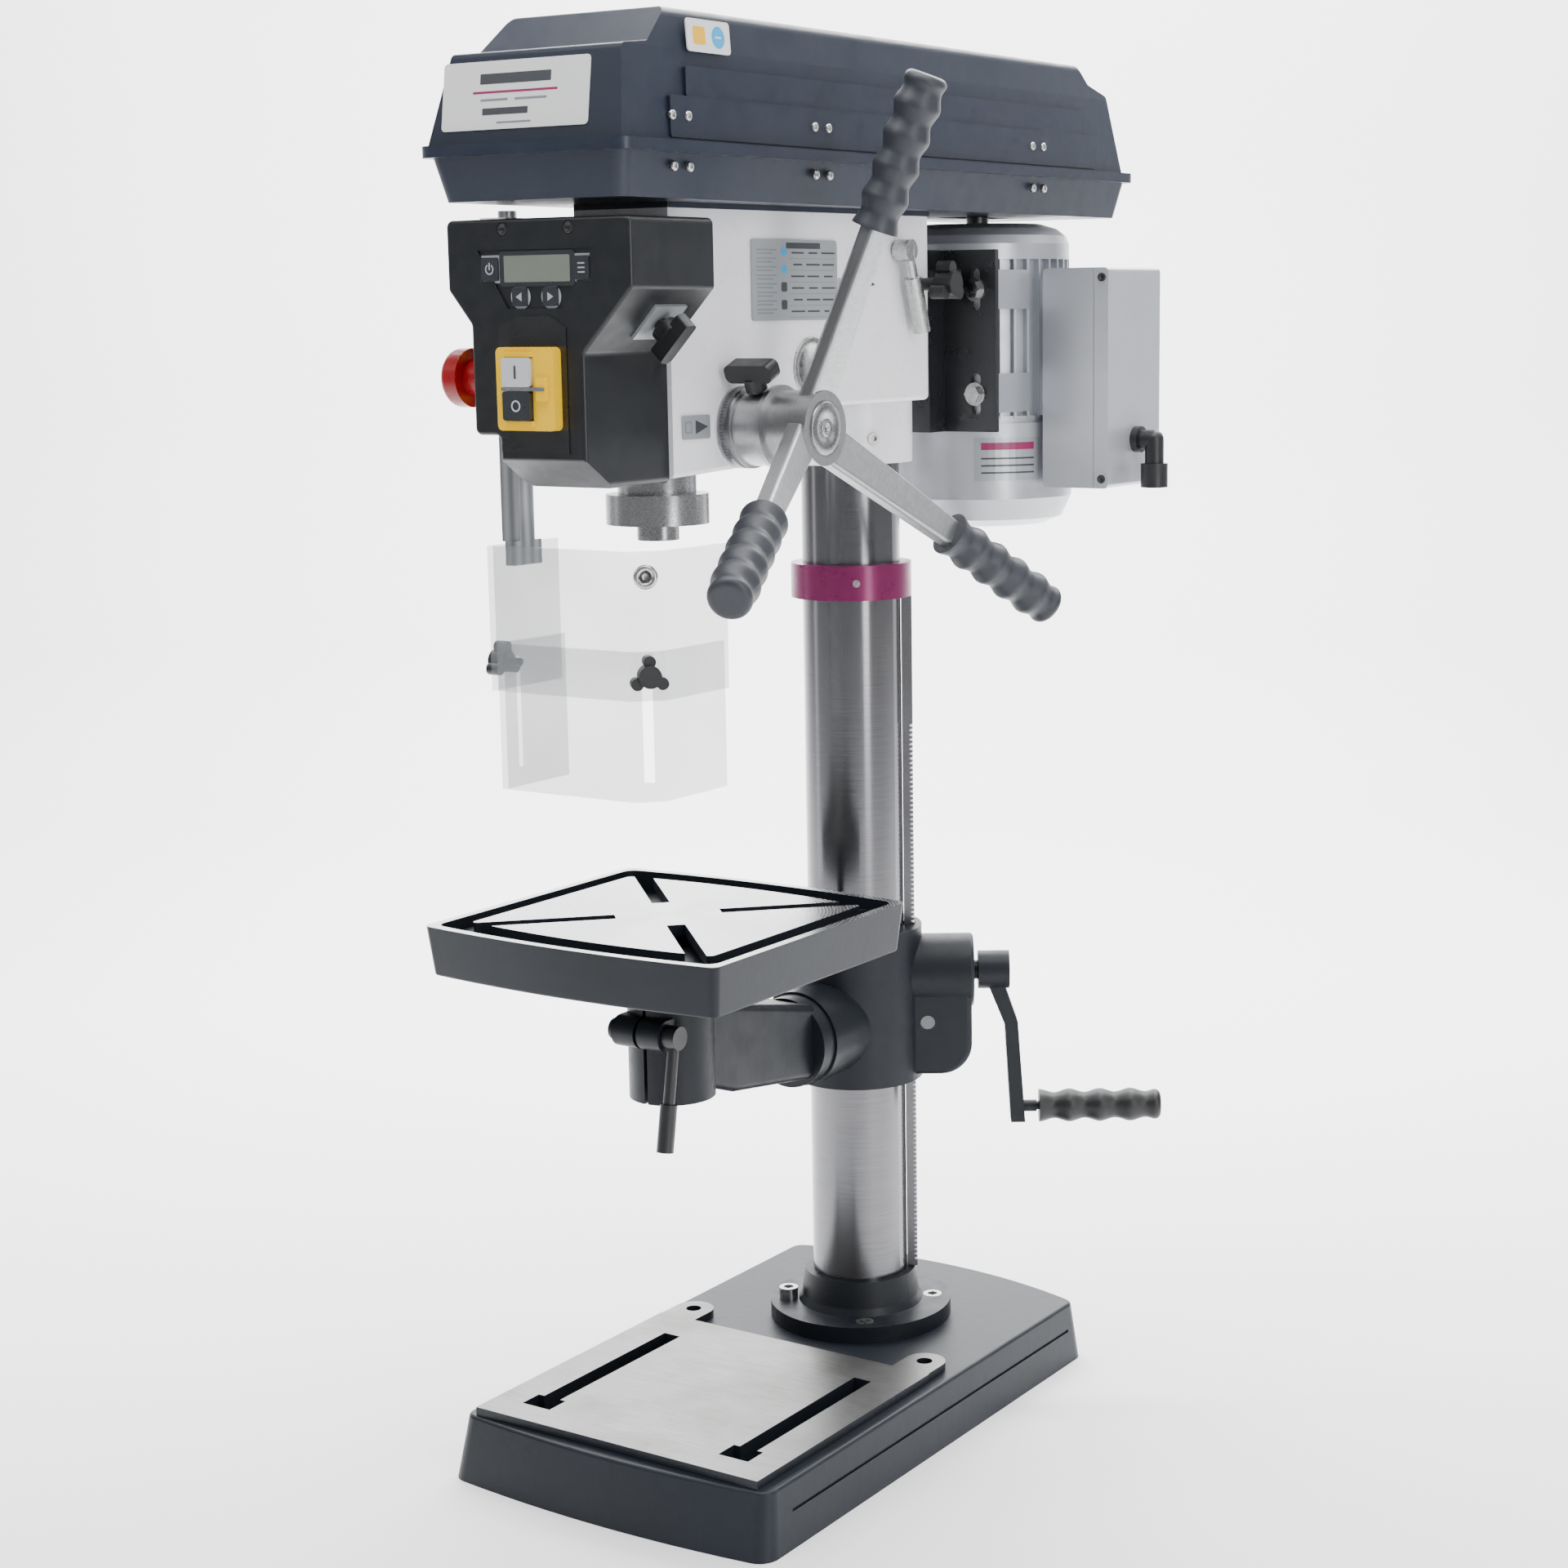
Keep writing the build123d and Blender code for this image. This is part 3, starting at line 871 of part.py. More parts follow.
# ================================================================ control housing
def panel_outline(t=0.0):
    w, n = PANEL_HALF - t, PANEL_NARROW - t
    k = t * 0.42
    return [(-w, PANEL_TOP - t), (w, PANEL_TOP - t), (w, PANEL_KNEE + k), (n, PANEL_WAIST + k), (n, PANEL_LOW + t),
            (-n, PANEL_LOW + t), (-n, PANEL_STEP_Z + t), (-PANEL_STEP_X + t, PANEL_STEP_Z + t),
            (-PANEL_STEP_X + t, PANEL_KNEE - 24 + k), (-w, PANEL_KNEE + k)]


def make_controls():
    shell = front_prism(panel_outline(), PANEL_FRONT, PANEL_REAR)
    shell = fillet(shell.edges().filter_by(Axis.Y), 5)
    cut = [(PANEL_FRONT - 1, PANEL_LIP), (PANEL_CUT_Y, PANEL_LOW), (PANEL_CUT_Y, PANEL_LOW - 1),
           (PANEL_FRONT - 1, PANEL_LOW - 1)]
    shell -= side_prism(cut, -90, 90)
    shell = fillet(shell.faces().sort_by(Axis.Y)[0].edges(), 2.5)
    t = PANEL_WALL
    inner = front_prism(panel_outline(t), PANEL_FRONT + t, PANEL_REAR - t)
    cut_in = [(PANEL_FRONT, PANEL_LIP + t * 1.3), (PANEL_CUT_Y + 3, PANEL_LOW + t), (PANEL_CUT_Y, PANEL_LOW - 1),
              (PANEL_FRONT - 1, PANEL_LOW - 1)]
    inner -= side_prism(cut_in, -90, 90)
    shell -= inner
    recess = [(-53, 939), (49, 939), (22, 899), (-27, 899)]
    shell -= front_prism(recess, PANEL_FRONT - 1, PANEL_FRONT + 1.2)
    for x, z, w, h in KEYS.values():
        shell -= block(x - w / 2 - 0.4, x + w / 2 + 0.4, PANEL_FRONT - 1, PANEL_FRONT + 9, z - h / 2 - 0.4, z + h / 2 + 0.4)
    shell -= cyl_x(11 + SEAT, -PANEL_STEP_X - 1, -PANEL_STEP_X + 5, STOP_Y, STOP_Z)
    sx, sz = SWITCH
    w, h = SWITCH_SIZE
    shell -= block(sx - w / 2 + 4, sx + w / 2 - 4, PANEL_FRONT - 1, PANEL_FRONT + 5, sz - h / 2 + 4, sz + h / 2 - 4)
    for x, z in PANEL_SCREWS:
        shell -= cyl_y(4.6, PANEL_FRONT - 1, PANEL_FRONT + 1.5, x, z)
    shell -= facet_place() * cyl(5 + RUN, -8, 4)
    node("control_housing", shell)

    frame = block(sx - w / 2, sx + w / 2, PANEL_FRONT - 9, PANEL_FRONT, sz - h / 2, sz + h / 2)
    frame = fillet(frame.edges().filter_by(Axis.Y), 4)
    frame += block(sx - w / 2 + 4.4, sx + w / 2 - 4.4, PANEL_FRONT - 1, PANEL_FRONT + 16, sz - h / 2 + 4.4, sz + h / 2 - 4.4)
    for x, z, bw, bh in BUTTONS.values():
        frame -= block(x - bw / 2 - 0.3, x + bw / 2 + 0.3, PANEL_FRONT - 10, PANEL_FRONT + 10, z - bh / 2 - 0.3, z + bh / 2 + 0.3)
    node("switch_frame", frame)
    for name, (x, z, bw, bh) in BUTTONS.items():
        button = block(x - bw / 2, x + bw / 2, PANEL_FRONT - 13, PANEL_FRONT + 5, z - bh / 2, z + bh / 2)
        node(name, fillet(button.edges().filter_by(Axis.Y), 2))
    for name, (x, z, kw, kh) in KEYS.items():
        key = block(x - kw / 2, x + kw / 2, PANEL_FRONT - 0.6, PANEL_FRONT + 6, z - kh / 2, z + kh / 2)
        node(name, fillet(key.edges().filter_by(Axis.Y), 1.5))

    out = -PANEL_STEP_X
    collar = cyl_x(24, out - 2, out, STOP_Y, STOP_Z) + cyl_x(11, out - 1, out + 12, STOP_Y, STOP_Z)
    collar -= cyl_x(8 + RUN, out - 3, out + 13, STOP_Y, STOP_Z)
    node("stop_collar", collar)
    cap = cyl_x(21, out - 40, out - 24, STOP_Y, STOP_Z)
    cap = fillet(cap.edges().sort_by(Axis.X)[0], 6)
    cap += cyl_x(13, out - 25, out - 10, STOP_Y, STOP_Z) + cyl_x(8, out - 11, out + 10, STOP_Y, STOP_Z)
    node("stop_button", cap)

    seat = facet_place()
    knob = cyl(5, -6, 8) + cyl(10, 7, 15) + fillet(block(-18, 18, -6, 6, 12, 24).edges().filter_by(Axis.Z), 4)
    node("rotary_knob", seat * knob)


def facet_place():
    """Local frame on the right-hand slanted facet: Z outwards, Y along the machine's Y."""
    run = PANEL_HALF - PANEL_NARROW
    rise = PANEL_KNEE - PANEL_WAIST
    length = hypot(run, rise)
    mid_x = (PANEL_HALF + PANEL_NARROW) / 2
    mid_z = (PANEL_KNEE + PANEL_WAIST) / 2
    normal = (rise / length, 0, -run / length)
    along = (run / length, 0, rise / length)
    return Plane(origin=(mid_x, -330, mid_z), x_dir=along, z_dir=normal).location


KEYS = {
    "power_key": (-42.0, 926.0, 15.0, 16.0),
    "menu_key": (39.0, 926.0, 13.0, 16.0),
    "mode_key": (-16.0, 907.0, 13.0, 13.0),
    "unit_key": (11.0, 907.0, 13.0, 13.0),
}
BUTTONS = {
    "start_button": (-12.0, 856.0, 24.0, 20.0),
    "off_button": (-12.0, 833.0, 24.0, 20.0),
}
PANEL_SCREWS = ((-30, 953), (28, 953), (-3, 881), (-26, 806), (19, 806))


# ================================================================ chip guard
def guard_outline(off):
    """Open plan outline of the guard, moved inwards by off, as a closed strip of wall thickness."""
    left, right, front = GUARD_LEFT + off, GUARD_RIGHT - off, GUARD_FRONT + off
    c = GUARD_CHAMFER - off * (2 - 2 ** 0.5)
    outer = [(left, GUARD_LEFT_REAR), (left, front), (right - c, front), (right, front + c), (right, GUARD_RIGHT_REAR)]
    t = GUARD_WALL
    left, right, front = left + t, right - t, front + t
    c -= t * (2 - 2 ** 0.5)
    inner = [(right, GUARD_RIGHT_REAR), (right, front + c), (right - c, front), (left, front), (left, GUARD_LEFT_REAR)]
    return outer + inner


def make_guard():
    upper = prism(guard_outline(0), GUARD_LOW, GUARD_TOP)
    x = GUARD_RIGHT - GUARD_CHAMFER / 2
    y = GUARD_FRONT + GUARD_CHAMFER / 2
    through = Pos(x, y, 0) * Rot(0, 0, -45)
    upper -= through * cyl_x(3.2, -12, 12, 0, GUARD_KNOB_Z)
    upper -= through * cyl_x(6, -12, 12, 0, GUARD_TOP - 18)
    upper -= cyl_x(3.2, GUARD_LEFT - 5, GUARD_LEFT + 5, -312, GUARD_KNOB_Z)
    node("upper_shield", upper)
    off = GUARD_WALL + 0.6
    lower = prism(guard_outline(off), SHIELD_LOW, SHIELD_TOP)
    slot = block(-12, 12, -4, 4, SHIELD_LOW + 14, GUARD_KNOB_Z + 5)
    lower -= through * slot
    lower -= block(GUARD_LEFT, GUARD_LEFT + 10, -316, -308, SHIELD_LOW + 14, GUARD_KNOB_Z + 5)
    node("lower_shield", lower)
    r = ROD_W / 2
    rod = cyl(ROD_R, 928, ROD_TOP, *ROD)
    rod += block(ROD[0] - r, ROD[0] + r, ROD[1] - r, ROD[1] + r, GUARD_TOP + 1, 929)
    rod += block(GUARD_LEFT + GUARD_WALL + SEAT, ROD[0] + r, ROD[1] - 16, ROD[1] + 16, GUARD_TOP - 16, GUARD_TOP + 2)
    node("guard_rod", rod)
    stud = cyl_x(3, -10, 4)
    knob = stud + Pos(2.2, 0, 0) * star_knob(15, 13)
    node("slot_knob", through * Pos(0, 0, GUARD_KNOB_Z) * knob)
    side = Pos(GUARD_LEFT, -312, GUARD_KNOB_Z) * Rot(0, 0, 180)
    node("side_knob", side * (cyl_x(3, -8, 6) + Pos(4, 0, 0) * star_knob(15, 13)))


make_base()
make_column()
make_rack()
make_bracket()
make_rack_drive()
make_table()
make_head()
make_plates()
make_spindle()
make_drive()
make_feed()
make_case()
make_motor()
make_controls()
make_guard()

os.makedirs("parts", exist_ok=True)
for name, shape in NODES.items():
    export_step(shape, f"parts/{name}.step")
print(len(NODES), "nodes written")
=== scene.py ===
import math
import bmesh
import bpy
from mathutils import Matrix, Vector


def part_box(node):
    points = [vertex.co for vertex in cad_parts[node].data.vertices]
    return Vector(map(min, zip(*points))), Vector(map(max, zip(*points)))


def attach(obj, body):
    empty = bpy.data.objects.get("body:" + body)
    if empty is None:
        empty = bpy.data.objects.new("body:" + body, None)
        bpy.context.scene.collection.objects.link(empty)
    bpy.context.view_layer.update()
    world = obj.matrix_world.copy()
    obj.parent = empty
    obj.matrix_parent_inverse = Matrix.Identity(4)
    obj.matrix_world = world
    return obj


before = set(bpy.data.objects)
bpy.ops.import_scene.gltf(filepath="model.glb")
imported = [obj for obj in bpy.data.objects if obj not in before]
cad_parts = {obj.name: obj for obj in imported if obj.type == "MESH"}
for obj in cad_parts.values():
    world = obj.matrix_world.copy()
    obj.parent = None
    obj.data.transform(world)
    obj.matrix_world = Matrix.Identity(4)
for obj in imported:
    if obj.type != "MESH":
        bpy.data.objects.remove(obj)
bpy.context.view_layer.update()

MM = 0.001
# The head's right side slopes from its front corner to its rear corner: (x, y) in mm.
HEAD_FRONT = (42.0, -293.0)
HEAD_REAR = (59.0, 30.0)
HEAD_SLOPE = (HEAD_REAR[0] - HEAD_FRONT[0]) / (HEAD_REAR[1] - HEAD_FRONT[1])
# Planes facing the front, as y in mm: the control panel, the switch buttons and the switch's yellow frame.
PANEL_FRONT = -387.0
BUTTON_FRONT = -400.0
SWITCH_FRONT = -396.2
# Height in metres at which the base's milled pad begins and ends fading in.
PAD_FADE = (0.0562, 0.0566)
# Depth in metres under the table's top at which the turned face begins and ends fading in.
TABLE_FADE = (0.0008, 0.0004)
# Turn in degrees of the backdrop, so that it stands behind the machine as the camera sees it.
BACKDROP_TURN = 32.7


# ================================================================ colour and node helpers
def linear(text):
    """sRGB hex to linear RGBA."""
    def channel(part):
        v = int(part, 16) / 255
        return v / 12.92 if v <= 0.04045 else ((v + 0.055) / 1.055) ** 2.4
    return tuple(channel(text[k:k + 2]) for k in (1, 3, 5)) + (1.0,)


def scaled_colour(colour, share):
    """A linear colour made darker or lighter by a factor, never above 1."""
    return tuple(min(1.0, v * share) for v in colour[:3]) + (1.0,)


class Finish:
    """A material under construction: nodes are added one call at a time."""

    def __init__(self, name):
        self.material = bpy.data.materials.new(name)
        self.material.use_nodes = True
        self.tree = self.material.node_tree
        self.shader = self.tree.nodes["Principled BSDF"]
        self.place = self.add("ShaderNodeTexCoord").outputs["Object"]

    def add(self, kind, settings=None, **links):
        """Adds a node. settings are its properties, links are values or outputs for its inputs.

        A link is named after its input, or i0, i1 and so on for an input by number.
        """
        made = self.tree.nodes.new(kind)
        for key, value in (settings or {}).items():
            setattr(made, key, value)
        for key, value in links.items():
            self.feed(made.inputs[int(key[1:]) if key[1:].isdigit() else key.replace("_", " ")], value)
        return made

    def feed(self, socket, value):
        if isinstance(value, bpy.types.NodeSocket):
            self.tree.links.new(value, socket)
        else:
            socket.default_value = value

    def set(self, **values):
        for key, value in values.items():
            self.feed(self.shader.inputs[key.replace("_", " ")], value)
        return self

    def scaled(self, x, y=None, z=None):
        """Object place multiplied per axis, in cycles per metre."""
        return self.add("ShaderNodeVectorMath", {"operation": "MULTIPLY"}, i0=self.place,
                        i1=(x, y or x, z or x)).outputs[0]

    def noise(self, per_metre, detail=3.0, roughness=0.5, place=None):
        return self.add("ShaderNodeTexNoise", None, Vector=place or self.place, Scale=per_metre,
                        Detail=detail, Roughness=roughness).outputs["Fac"]

    def math(self, kind, a, b=0.0):
        return self.add("ShaderNodeMath", {"operation": kind}, i0=a, i1=b).outputs[0]

    def span(self, value, low, high, new_low, new_high):
        return self.add("ShaderNodeMapRange", None, Value=value, From_Min=low, From_Max=high,
                        To_Min=new_low, To_Max=new_high).outputs[0]

    def mix(self, share, a, b):
        made = self.add("ShaderNodeMix", {"data_type": "RGBA"})
        for index, value in ((0, share), (6, a), (7, b)):
            self.feed(made.inputs[index], value)
        return made.outputs[2]

    def blend(self, share, a, b):
        """Numbers a and b mixed by share."""
        return self.add("ShaderNodeMix", None, i0=share, i2=a, i3=b).outputs[0]

    def bump(self, height, depth_mm, strength=1.0, under=None):
        made = self.add("ShaderNodeBump", None, Height=height, Distance=depth_mm * MM, Strength=strength)
        if under is not None:
            self.feed(made.inputs["Normal"], under)
        return made.outputs[0]

    def axis(self, name, of=None):
        return self.add("ShaderNodeSeparateXYZ", None, Vector=of or self.place).outputs[name]

    def facing_up(self):
        """1 where the surface faces up in the piece's own frame."""
        turned = self.add("ShaderNodeVectorTransform",
                          {"vector_type": "NORMAL", "convert_from": "WORLD", "convert_to": "OBJECT"},
                          Vector=self.add("ShaderNodeNewGeometry").outputs["Normal"]).outputs[0]
        return self.span(self.axis("Z", turned), 0.90, 0.97, 0.0, 1.0)


def paint(name, colour, gloss=0.36, peel_mm=0.010, peel_size_mm=2.2, cast_mm=0.0, spread=0.06,
          coat=0.25, shine=0.5):
    """Sprayed paint. cast_mm is how deep the sand-cast skin under it reads."""
    f = Finish(name)
    shade = f.noise(9, 4, 0.55)
    dark = scaled_colour(linear(colour), 1 - spread)
    light = scaled_colour(linear(colour), 1 + spread)
    f.set(Base_Color=f.mix(f.span(shade, 0.3, 0.7, 0, 1), dark, light))
    f.set(Roughness=f.span(f.noise(60, 4), 0.3, 0.7, gloss - 0.05, gloss + 0.07))
    peel = f.bump(f.noise(1000 / peel_size_mm, 2, 0.4), peel_mm)
    if cast_mm:
        peel = f.bump(f.noise(150, 4, 0.55), cast_mm, 1.0, peel)
    f.set(Normal=peel, Coat_Weight=coat, Coat_Roughness=0.16, Specular_IOR_Level=shine)
    return f


def machined(f, lines, line_depth_mm, base, low_rough, high_rough, stain="#5f5a52", stain_share=0.25):
    """Colour, roughness and normal of bare cut metal: lines for tool marks, soft patches of handling."""
    patches = f.span(f.noise(14, 5, 0.62), 0.45, 0.75, 0.0, stain_share)
    tone = f.mix(f.span(lines, 0.35, 0.65, 0, 1), linear(base), scaled_colour(linear(base), 0.86))
    colour = f.mix(patches, tone, linear(stain))
    rough = f.span(lines, 0.3, 0.7, low_rough, high_rough)
    return colour, rough, f.bump(lines, line_depth_mm)


# ================================================================ materials
# Dark blue-grey casting enamel: lumpy sand skin under gloss paint, so edges catch soft uneven light.
casting = paint("enamel_on_sand_casting", "#15191f", gloss=0.42, peel_mm=0.012, cast_mm=0.10,
                spread=0.10, coat=0.0, shine=0.28).material
# White enamel on the head casting: smoother filler and paint, faint orange peel.
white_head = paint("white_enamel_on_filled_casting", "#e6e6ea", gloss=0.30, peel_mm=0.010,
                   cast_mm=0.035, spread=0.02, coat=0.4).material
# Powder coat on the pressed belt cover: fine even grain, semi-gloss.
cover_paint = paint("powder_coat_on_pressed_steel", "#1e2533", gloss=0.38, peel_mm=0.006,
                    peel_size_mm=1.1, spread=0.05, coat=0.05, shine=0.4).material
# Silver motor paint: half metallic under a thin coat.
silver = paint("silver_lacquer_on_aluminium", "#b6b9bf", gloss=0.34, peel_mm=0.006, cast_mm=0.02,
               spread=0.04, coat=0.3)
silver.set(Metallic=0.55)
silver_paint = silver.material
# Black bracket paint, thin over rolled plate.
black_paint = paint("black_enamel_on_plate", "#17191c", gloss=0.30, peel_mm=0.006, spread=0.15,
                    coat=0.3).material
# Collar above the rack: magenta anodised metal.
ring = paint("magenta_anodised_ring", "#74184f", gloss=0.30, peel_mm=0.002, spread=0.05, coat=0.2)
ring.set(Metallic=0.45)
ring_finish = ring.material


def moulded(name, colour, gloss, grain_mm=0.012, grain_size_mm=0.7, spread=0.05):
    """Injection-moulded plastic with an etched grain."""
    f = Finish(name)
    c = linear(colour)
    f.set(Base_Color=f.mix(f.noise(30, 3), scaled_colour(c, 1 - spread), c))
    f.set(Roughness=f.span(f.noise(90, 3), 0.3, 0.7, gloss - 0.04, gloss + 0.05))
    f.set(Normal=f.bump(f.noise(1000 / grain_size_mm, 1, 0.5), grain_mm), Specular_IOR_Level=0.5)
    return f


# Near-black etched plastic of the control housing.
housing_plastic = moulded("etched_black_housing_plastic", "#121519", 0.36, 0.014, 0.8).material
# Glass-filled black plastic of knobs and levers: a little greyer and duller.
knob_plastic = moulded("black_knob_plastic", "#16171a", 0.42, 0.010, 0.6).material
# Soft grey grip rubber.
grip_rubber = moulded("grey_grip_rubber", "#2a2d34", 0.48, 0.010, 0.8, 0.07).material
black_grip = moulded("black_ribbed_grip", "#101113", 0.46, 0.010, 0.8, 0.07).material
yellow = moulded("yellow_switch_plastic", "#f0c000", 0.28, 0.004).material
red = moulded("red_mushroom_plastic", "#8c0c13", 0.25, 0.003).material
pale_key = moulded("pale_button_plastic", "#b9bcc0", 0.30, 0.003).material
dark_key = moulded("dark_button_plastic", "#2a2d31", 0.30, 0.003).material
belt_rubber = moulded("belt_rubber", "#1b1b1b", 0.6, 0.02, 1.2).material


def column_steel():
    """Ground tube: fine lines run round it, so light stretches up and down in soft bands."""
    f = Finish("ground_column_steel")
    lines = f.noise(1, 4, 0.6, f.scaled(26, 26, 2600))
    colour, rough, bumped = machined(f, lines, 0.004, "#78787b", 0.17, 0.27, "#8d8b88", 0.18)
    tangent = f.add("ShaderNodeTangent", {"direction_type": "RADIAL", "axis": "Z"}).outputs[0]
    f.set(Base_Color=colour, Roughness=rough, Normal=bumped, Metallic=1.0, Anisotropic=0.6,
          Anisotropic_Rotation=0.25, Tangent=tangent)
    return f.material


def cut_steel(name, colour, rough=0.30, dirt=0.15):
    """Turned or milled steel: a faint fine grain and light soiling."""
    f = Finish(name)
    lines = f.noise(1, 3, 0.6, f.scaled(900, 900, 900))
    c, r, b = machined(f, lines, 0.003, colour, rough - 0.06, rough + 0.08, "#4c4943", dirt)
    f.set(Base_Color=c, Roughness=r, Normal=b, Metallic=1.0)
    return f.material


def zinc_plate():
    """Bright zinc with a mild mottled spangle."""
    f = Finish("zinc_plated_steel")
    tone = f.mix(f.noise(260, 3), linear("#a5a6a4"), linear("#c9cac9"))
    f.set(Base_Color=tone, Roughness=f.span(f.noise(180, 3), 0.3, 0.7, 0.20, 0.34), Metallic=1.0,
          Normal=f.bump(f.noise(900, 2), 0.004))
    return f.material


def cast_aluminium():
    """Die-cast parts, blasted then brushed: even silver grey with a soft sheen."""
    f = Finish("brushed_die_cast_aluminium")
    lines = f.noise(1, 3, 0.6, f.scaled(1100, 160, 160))
    c, r, b = machined(f, lines, 0.006, "#b2b4b5", 0.30, 0.42, "#8c8d8c", 0.2)
    f.set(Base_Color=c, Roughness=r, Normal=b, Metallic=1.0)
    return f.material


def grooved_extrusion():
    """Drawn aluminium rod with long flutes down its faces."""
    f = Finish("fluted_aluminium_extrusion")
    grooves = f.add("ShaderNodeTexWave", {"wave_type": "BANDS", "bands_direction": "DIAGONAL"},
                    Vector=f.scaled(1, 1, 0.0001), Scale=62.0, Distortion=0.0).outputs["Fac"]
    # The colour follows the flute depth, darker in the groove bottoms and lighter on the ridges: painted
    # shade and painted highlight.
    f.set(Base_Color=f.mix(grooves, linear("#8f9295"), linear("#c3c5c6")), Metallic=1.0, Roughness=0.30,
          Normal=f.bump(grooves, 0.25))
    return f.material


def clear_sheet():
    """Bent polycarbonate: a light grey veil over what stands behind it, slightly uneven."""
    f = Finish("clear_bent_polycarbonate")
    f.set(Base_Color=linear("#8b8f92"), Alpha=f.span(f.noise(12, 3), 0.3, 0.7, 0.25, 0.31), IOR=1.58)
    f.set(Roughness=f.span(f.noise(40, 4), 0.45, 0.8, 0.05, 0.12), Normal=f.bump(f.noise(22, 2), 0.05))
    return f.material


def turned_table():
    """Enamel below, and a face-turned top whose rings fan the light out from the centre."""
    rings_per_metre = 640.0
    feed_mm = 2.6
    f = Finish("enamel_and_face_turned_iron")
    x, y = f.axis("X"), f.math("SUBTRACT", f.axis("Y"), table_middle[1])
    radius = f.math("SQRT", f.math("ADD", f.math("MULTIPLY", x, x), f.math("MULTIPLY", y, y)))
    stretched = f.math("MULTIPLY", radius, rings_per_metre)
    spread = f.add("ShaderNodeCombineXYZ", None, X=stretched, Y=0.0, Z=0.0).outputs[0]
    fine = f.noise(1, 3, 0.7, spread)
    feed = f.math("SINE", f.math("MULTIPLY", radius, 2 * math.pi / (feed_mm * MM)))
    lines = f.math("ADD", f.math("MULTIPLY", fine, 0.8), f.math("MULTIPLY", feed, 0.10))
    colour, rough, bumped = machined(f, lines, 0.010, "#b9bab9", 0.22, 0.38, "#8b8a86", 0.15)
    skin = f.bump(f.noise(150, 4, 0.55), 0.10, 1.0, f.bump(f.noise(450, 2, 0.4), 0.012))
    near_top = f.span(f.axis("Z"), table_top - TABLE_FADE[0], table_top - TABLE_FADE[1], 0, 1)
    bare = f.math("MULTIPLY", f.facing_up(), near_top)
    along = f.add("ShaderNodeCombineXYZ", None, X=x, Y=y, Z=0.0).outputs[0]
    along = f.add("ShaderNodeVectorTransform",
                  {"vector_type": "VECTOR", "convert_from": "OBJECT", "convert_to": "WORLD"},
                  Vector=along).outputs[0]
    along = f.add("ShaderNodeVectorMath", {"operation": "NORMALIZE"}, i0=along).outputs[0]
    enamel = f.mix(f.span(f.noise(9, 4), 0.3, 0.7, 0, 1), linear("#13171d"), linear("#191e26"))
    normal = f.add("ShaderNodeMix", {"data_type": "VECTOR"})
    for index, value in ((0, bare), (4, skin), (5, bumped)):
        f.feed(normal.inputs[index], value)
    f.set(Base_Color=f.mix(bare, enamel, colour), Metallic=bare, Roughness=f.blend(bare, 0.42, rough),
          Normal=normal.outputs[1], Anisotropic=f.math("MULTIPLY", bare, 0.75), Tangent=along,
          Specular_IOR_Level=0.28)
    return f.material


def milled_base():
    """Enamel all round, and a milled pad worn grey with straight cutter lines and oil stains."""
    f = Finish("enamel_and_milled_iron")
    lines = f.noise(1, 3, 0.6, f.scaled(30, 1500, 30))
    colour, rough, bumped = machined(f, lines, 0.006, "#7e7e7d", 0.30, 0.46, "#4b4741", 0.5)
    skin = f.bump(f.noise(120, 4, 0.6), 0.16, 1.0, f.bump(f.noise(450, 2, 0.4), 0.014))
    bare = f.math("MULTIPLY", f.facing_up(), f.span(f.axis("Z"), *PAD_FADE, 0, 1))
    enamel = f.mix(f.span(f.noise(7, 4), 0.3, 0.7, 0, 1), linear("#13171d"), linear("#1a1f27"))
    normal = f.add("ShaderNodeMix", {"data_type": "VECTOR"})
    for index, value in ((0, bare), (4, skin), (5, bumped)):
        f.feed(normal.inputs[index], value)
    f.set(Base_Color=f.mix(bare, enamel, colour), Metallic=bare, Roughness=f.blend(bare, 0.42, rough),
          Normal=normal.outputs[1], Specular_IOR_Level=0.28)
    return f.material


def printed(name, colour, gloss=0.35, metallic=0.0):
    """Printed or foil surface of a label."""
    f = Finish(name)
    c = linear(colour)
    f.set(Base_Color=f.mix(f.noise(50, 2), scaled_colour(c, 0.96), c), Metallic=metallic,
          Roughness=f.span(f.noise(120, 2), 0.3, 0.7, gloss - 0.03, gloss + 0.03))
    return f.material


table_low, table_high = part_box("drill_table")
table_top = table_high[2]
table_middle = [(a + b) / 2 for a, b in zip(table_low, table_high)]
steel = cut_steel("turned_steel", "#a3a4a5", 0.27)
dark_steel = cut_steel("dark_cut_steel", "#77777a", 0.36, 0.3)
zinc = zinc_plate()
aluminium = cast_aluminium()
label_white = printed("label_foil_white", "#d9dada")
label_grey = printed("label_foil_silver", "#a9adb0", 0.32, 0.5)
ink_dark = printed("label_ink_dark", "#3a3d42")
ink_grey = printed("label_ink_grey", "#7b7f85")
ink_band = printed("label_ink_magenta", "#8a1f55")
ink_blue = printed("label_ink_blue", "#2f9fd8")
ink_yellow = printed("label_ink_yellow", "#e9b41c")
lcd_glass = printed("display_glass", "#6f756c", 0.12)
key_legend = printed("key_legend_grey", "#9aa0a6")

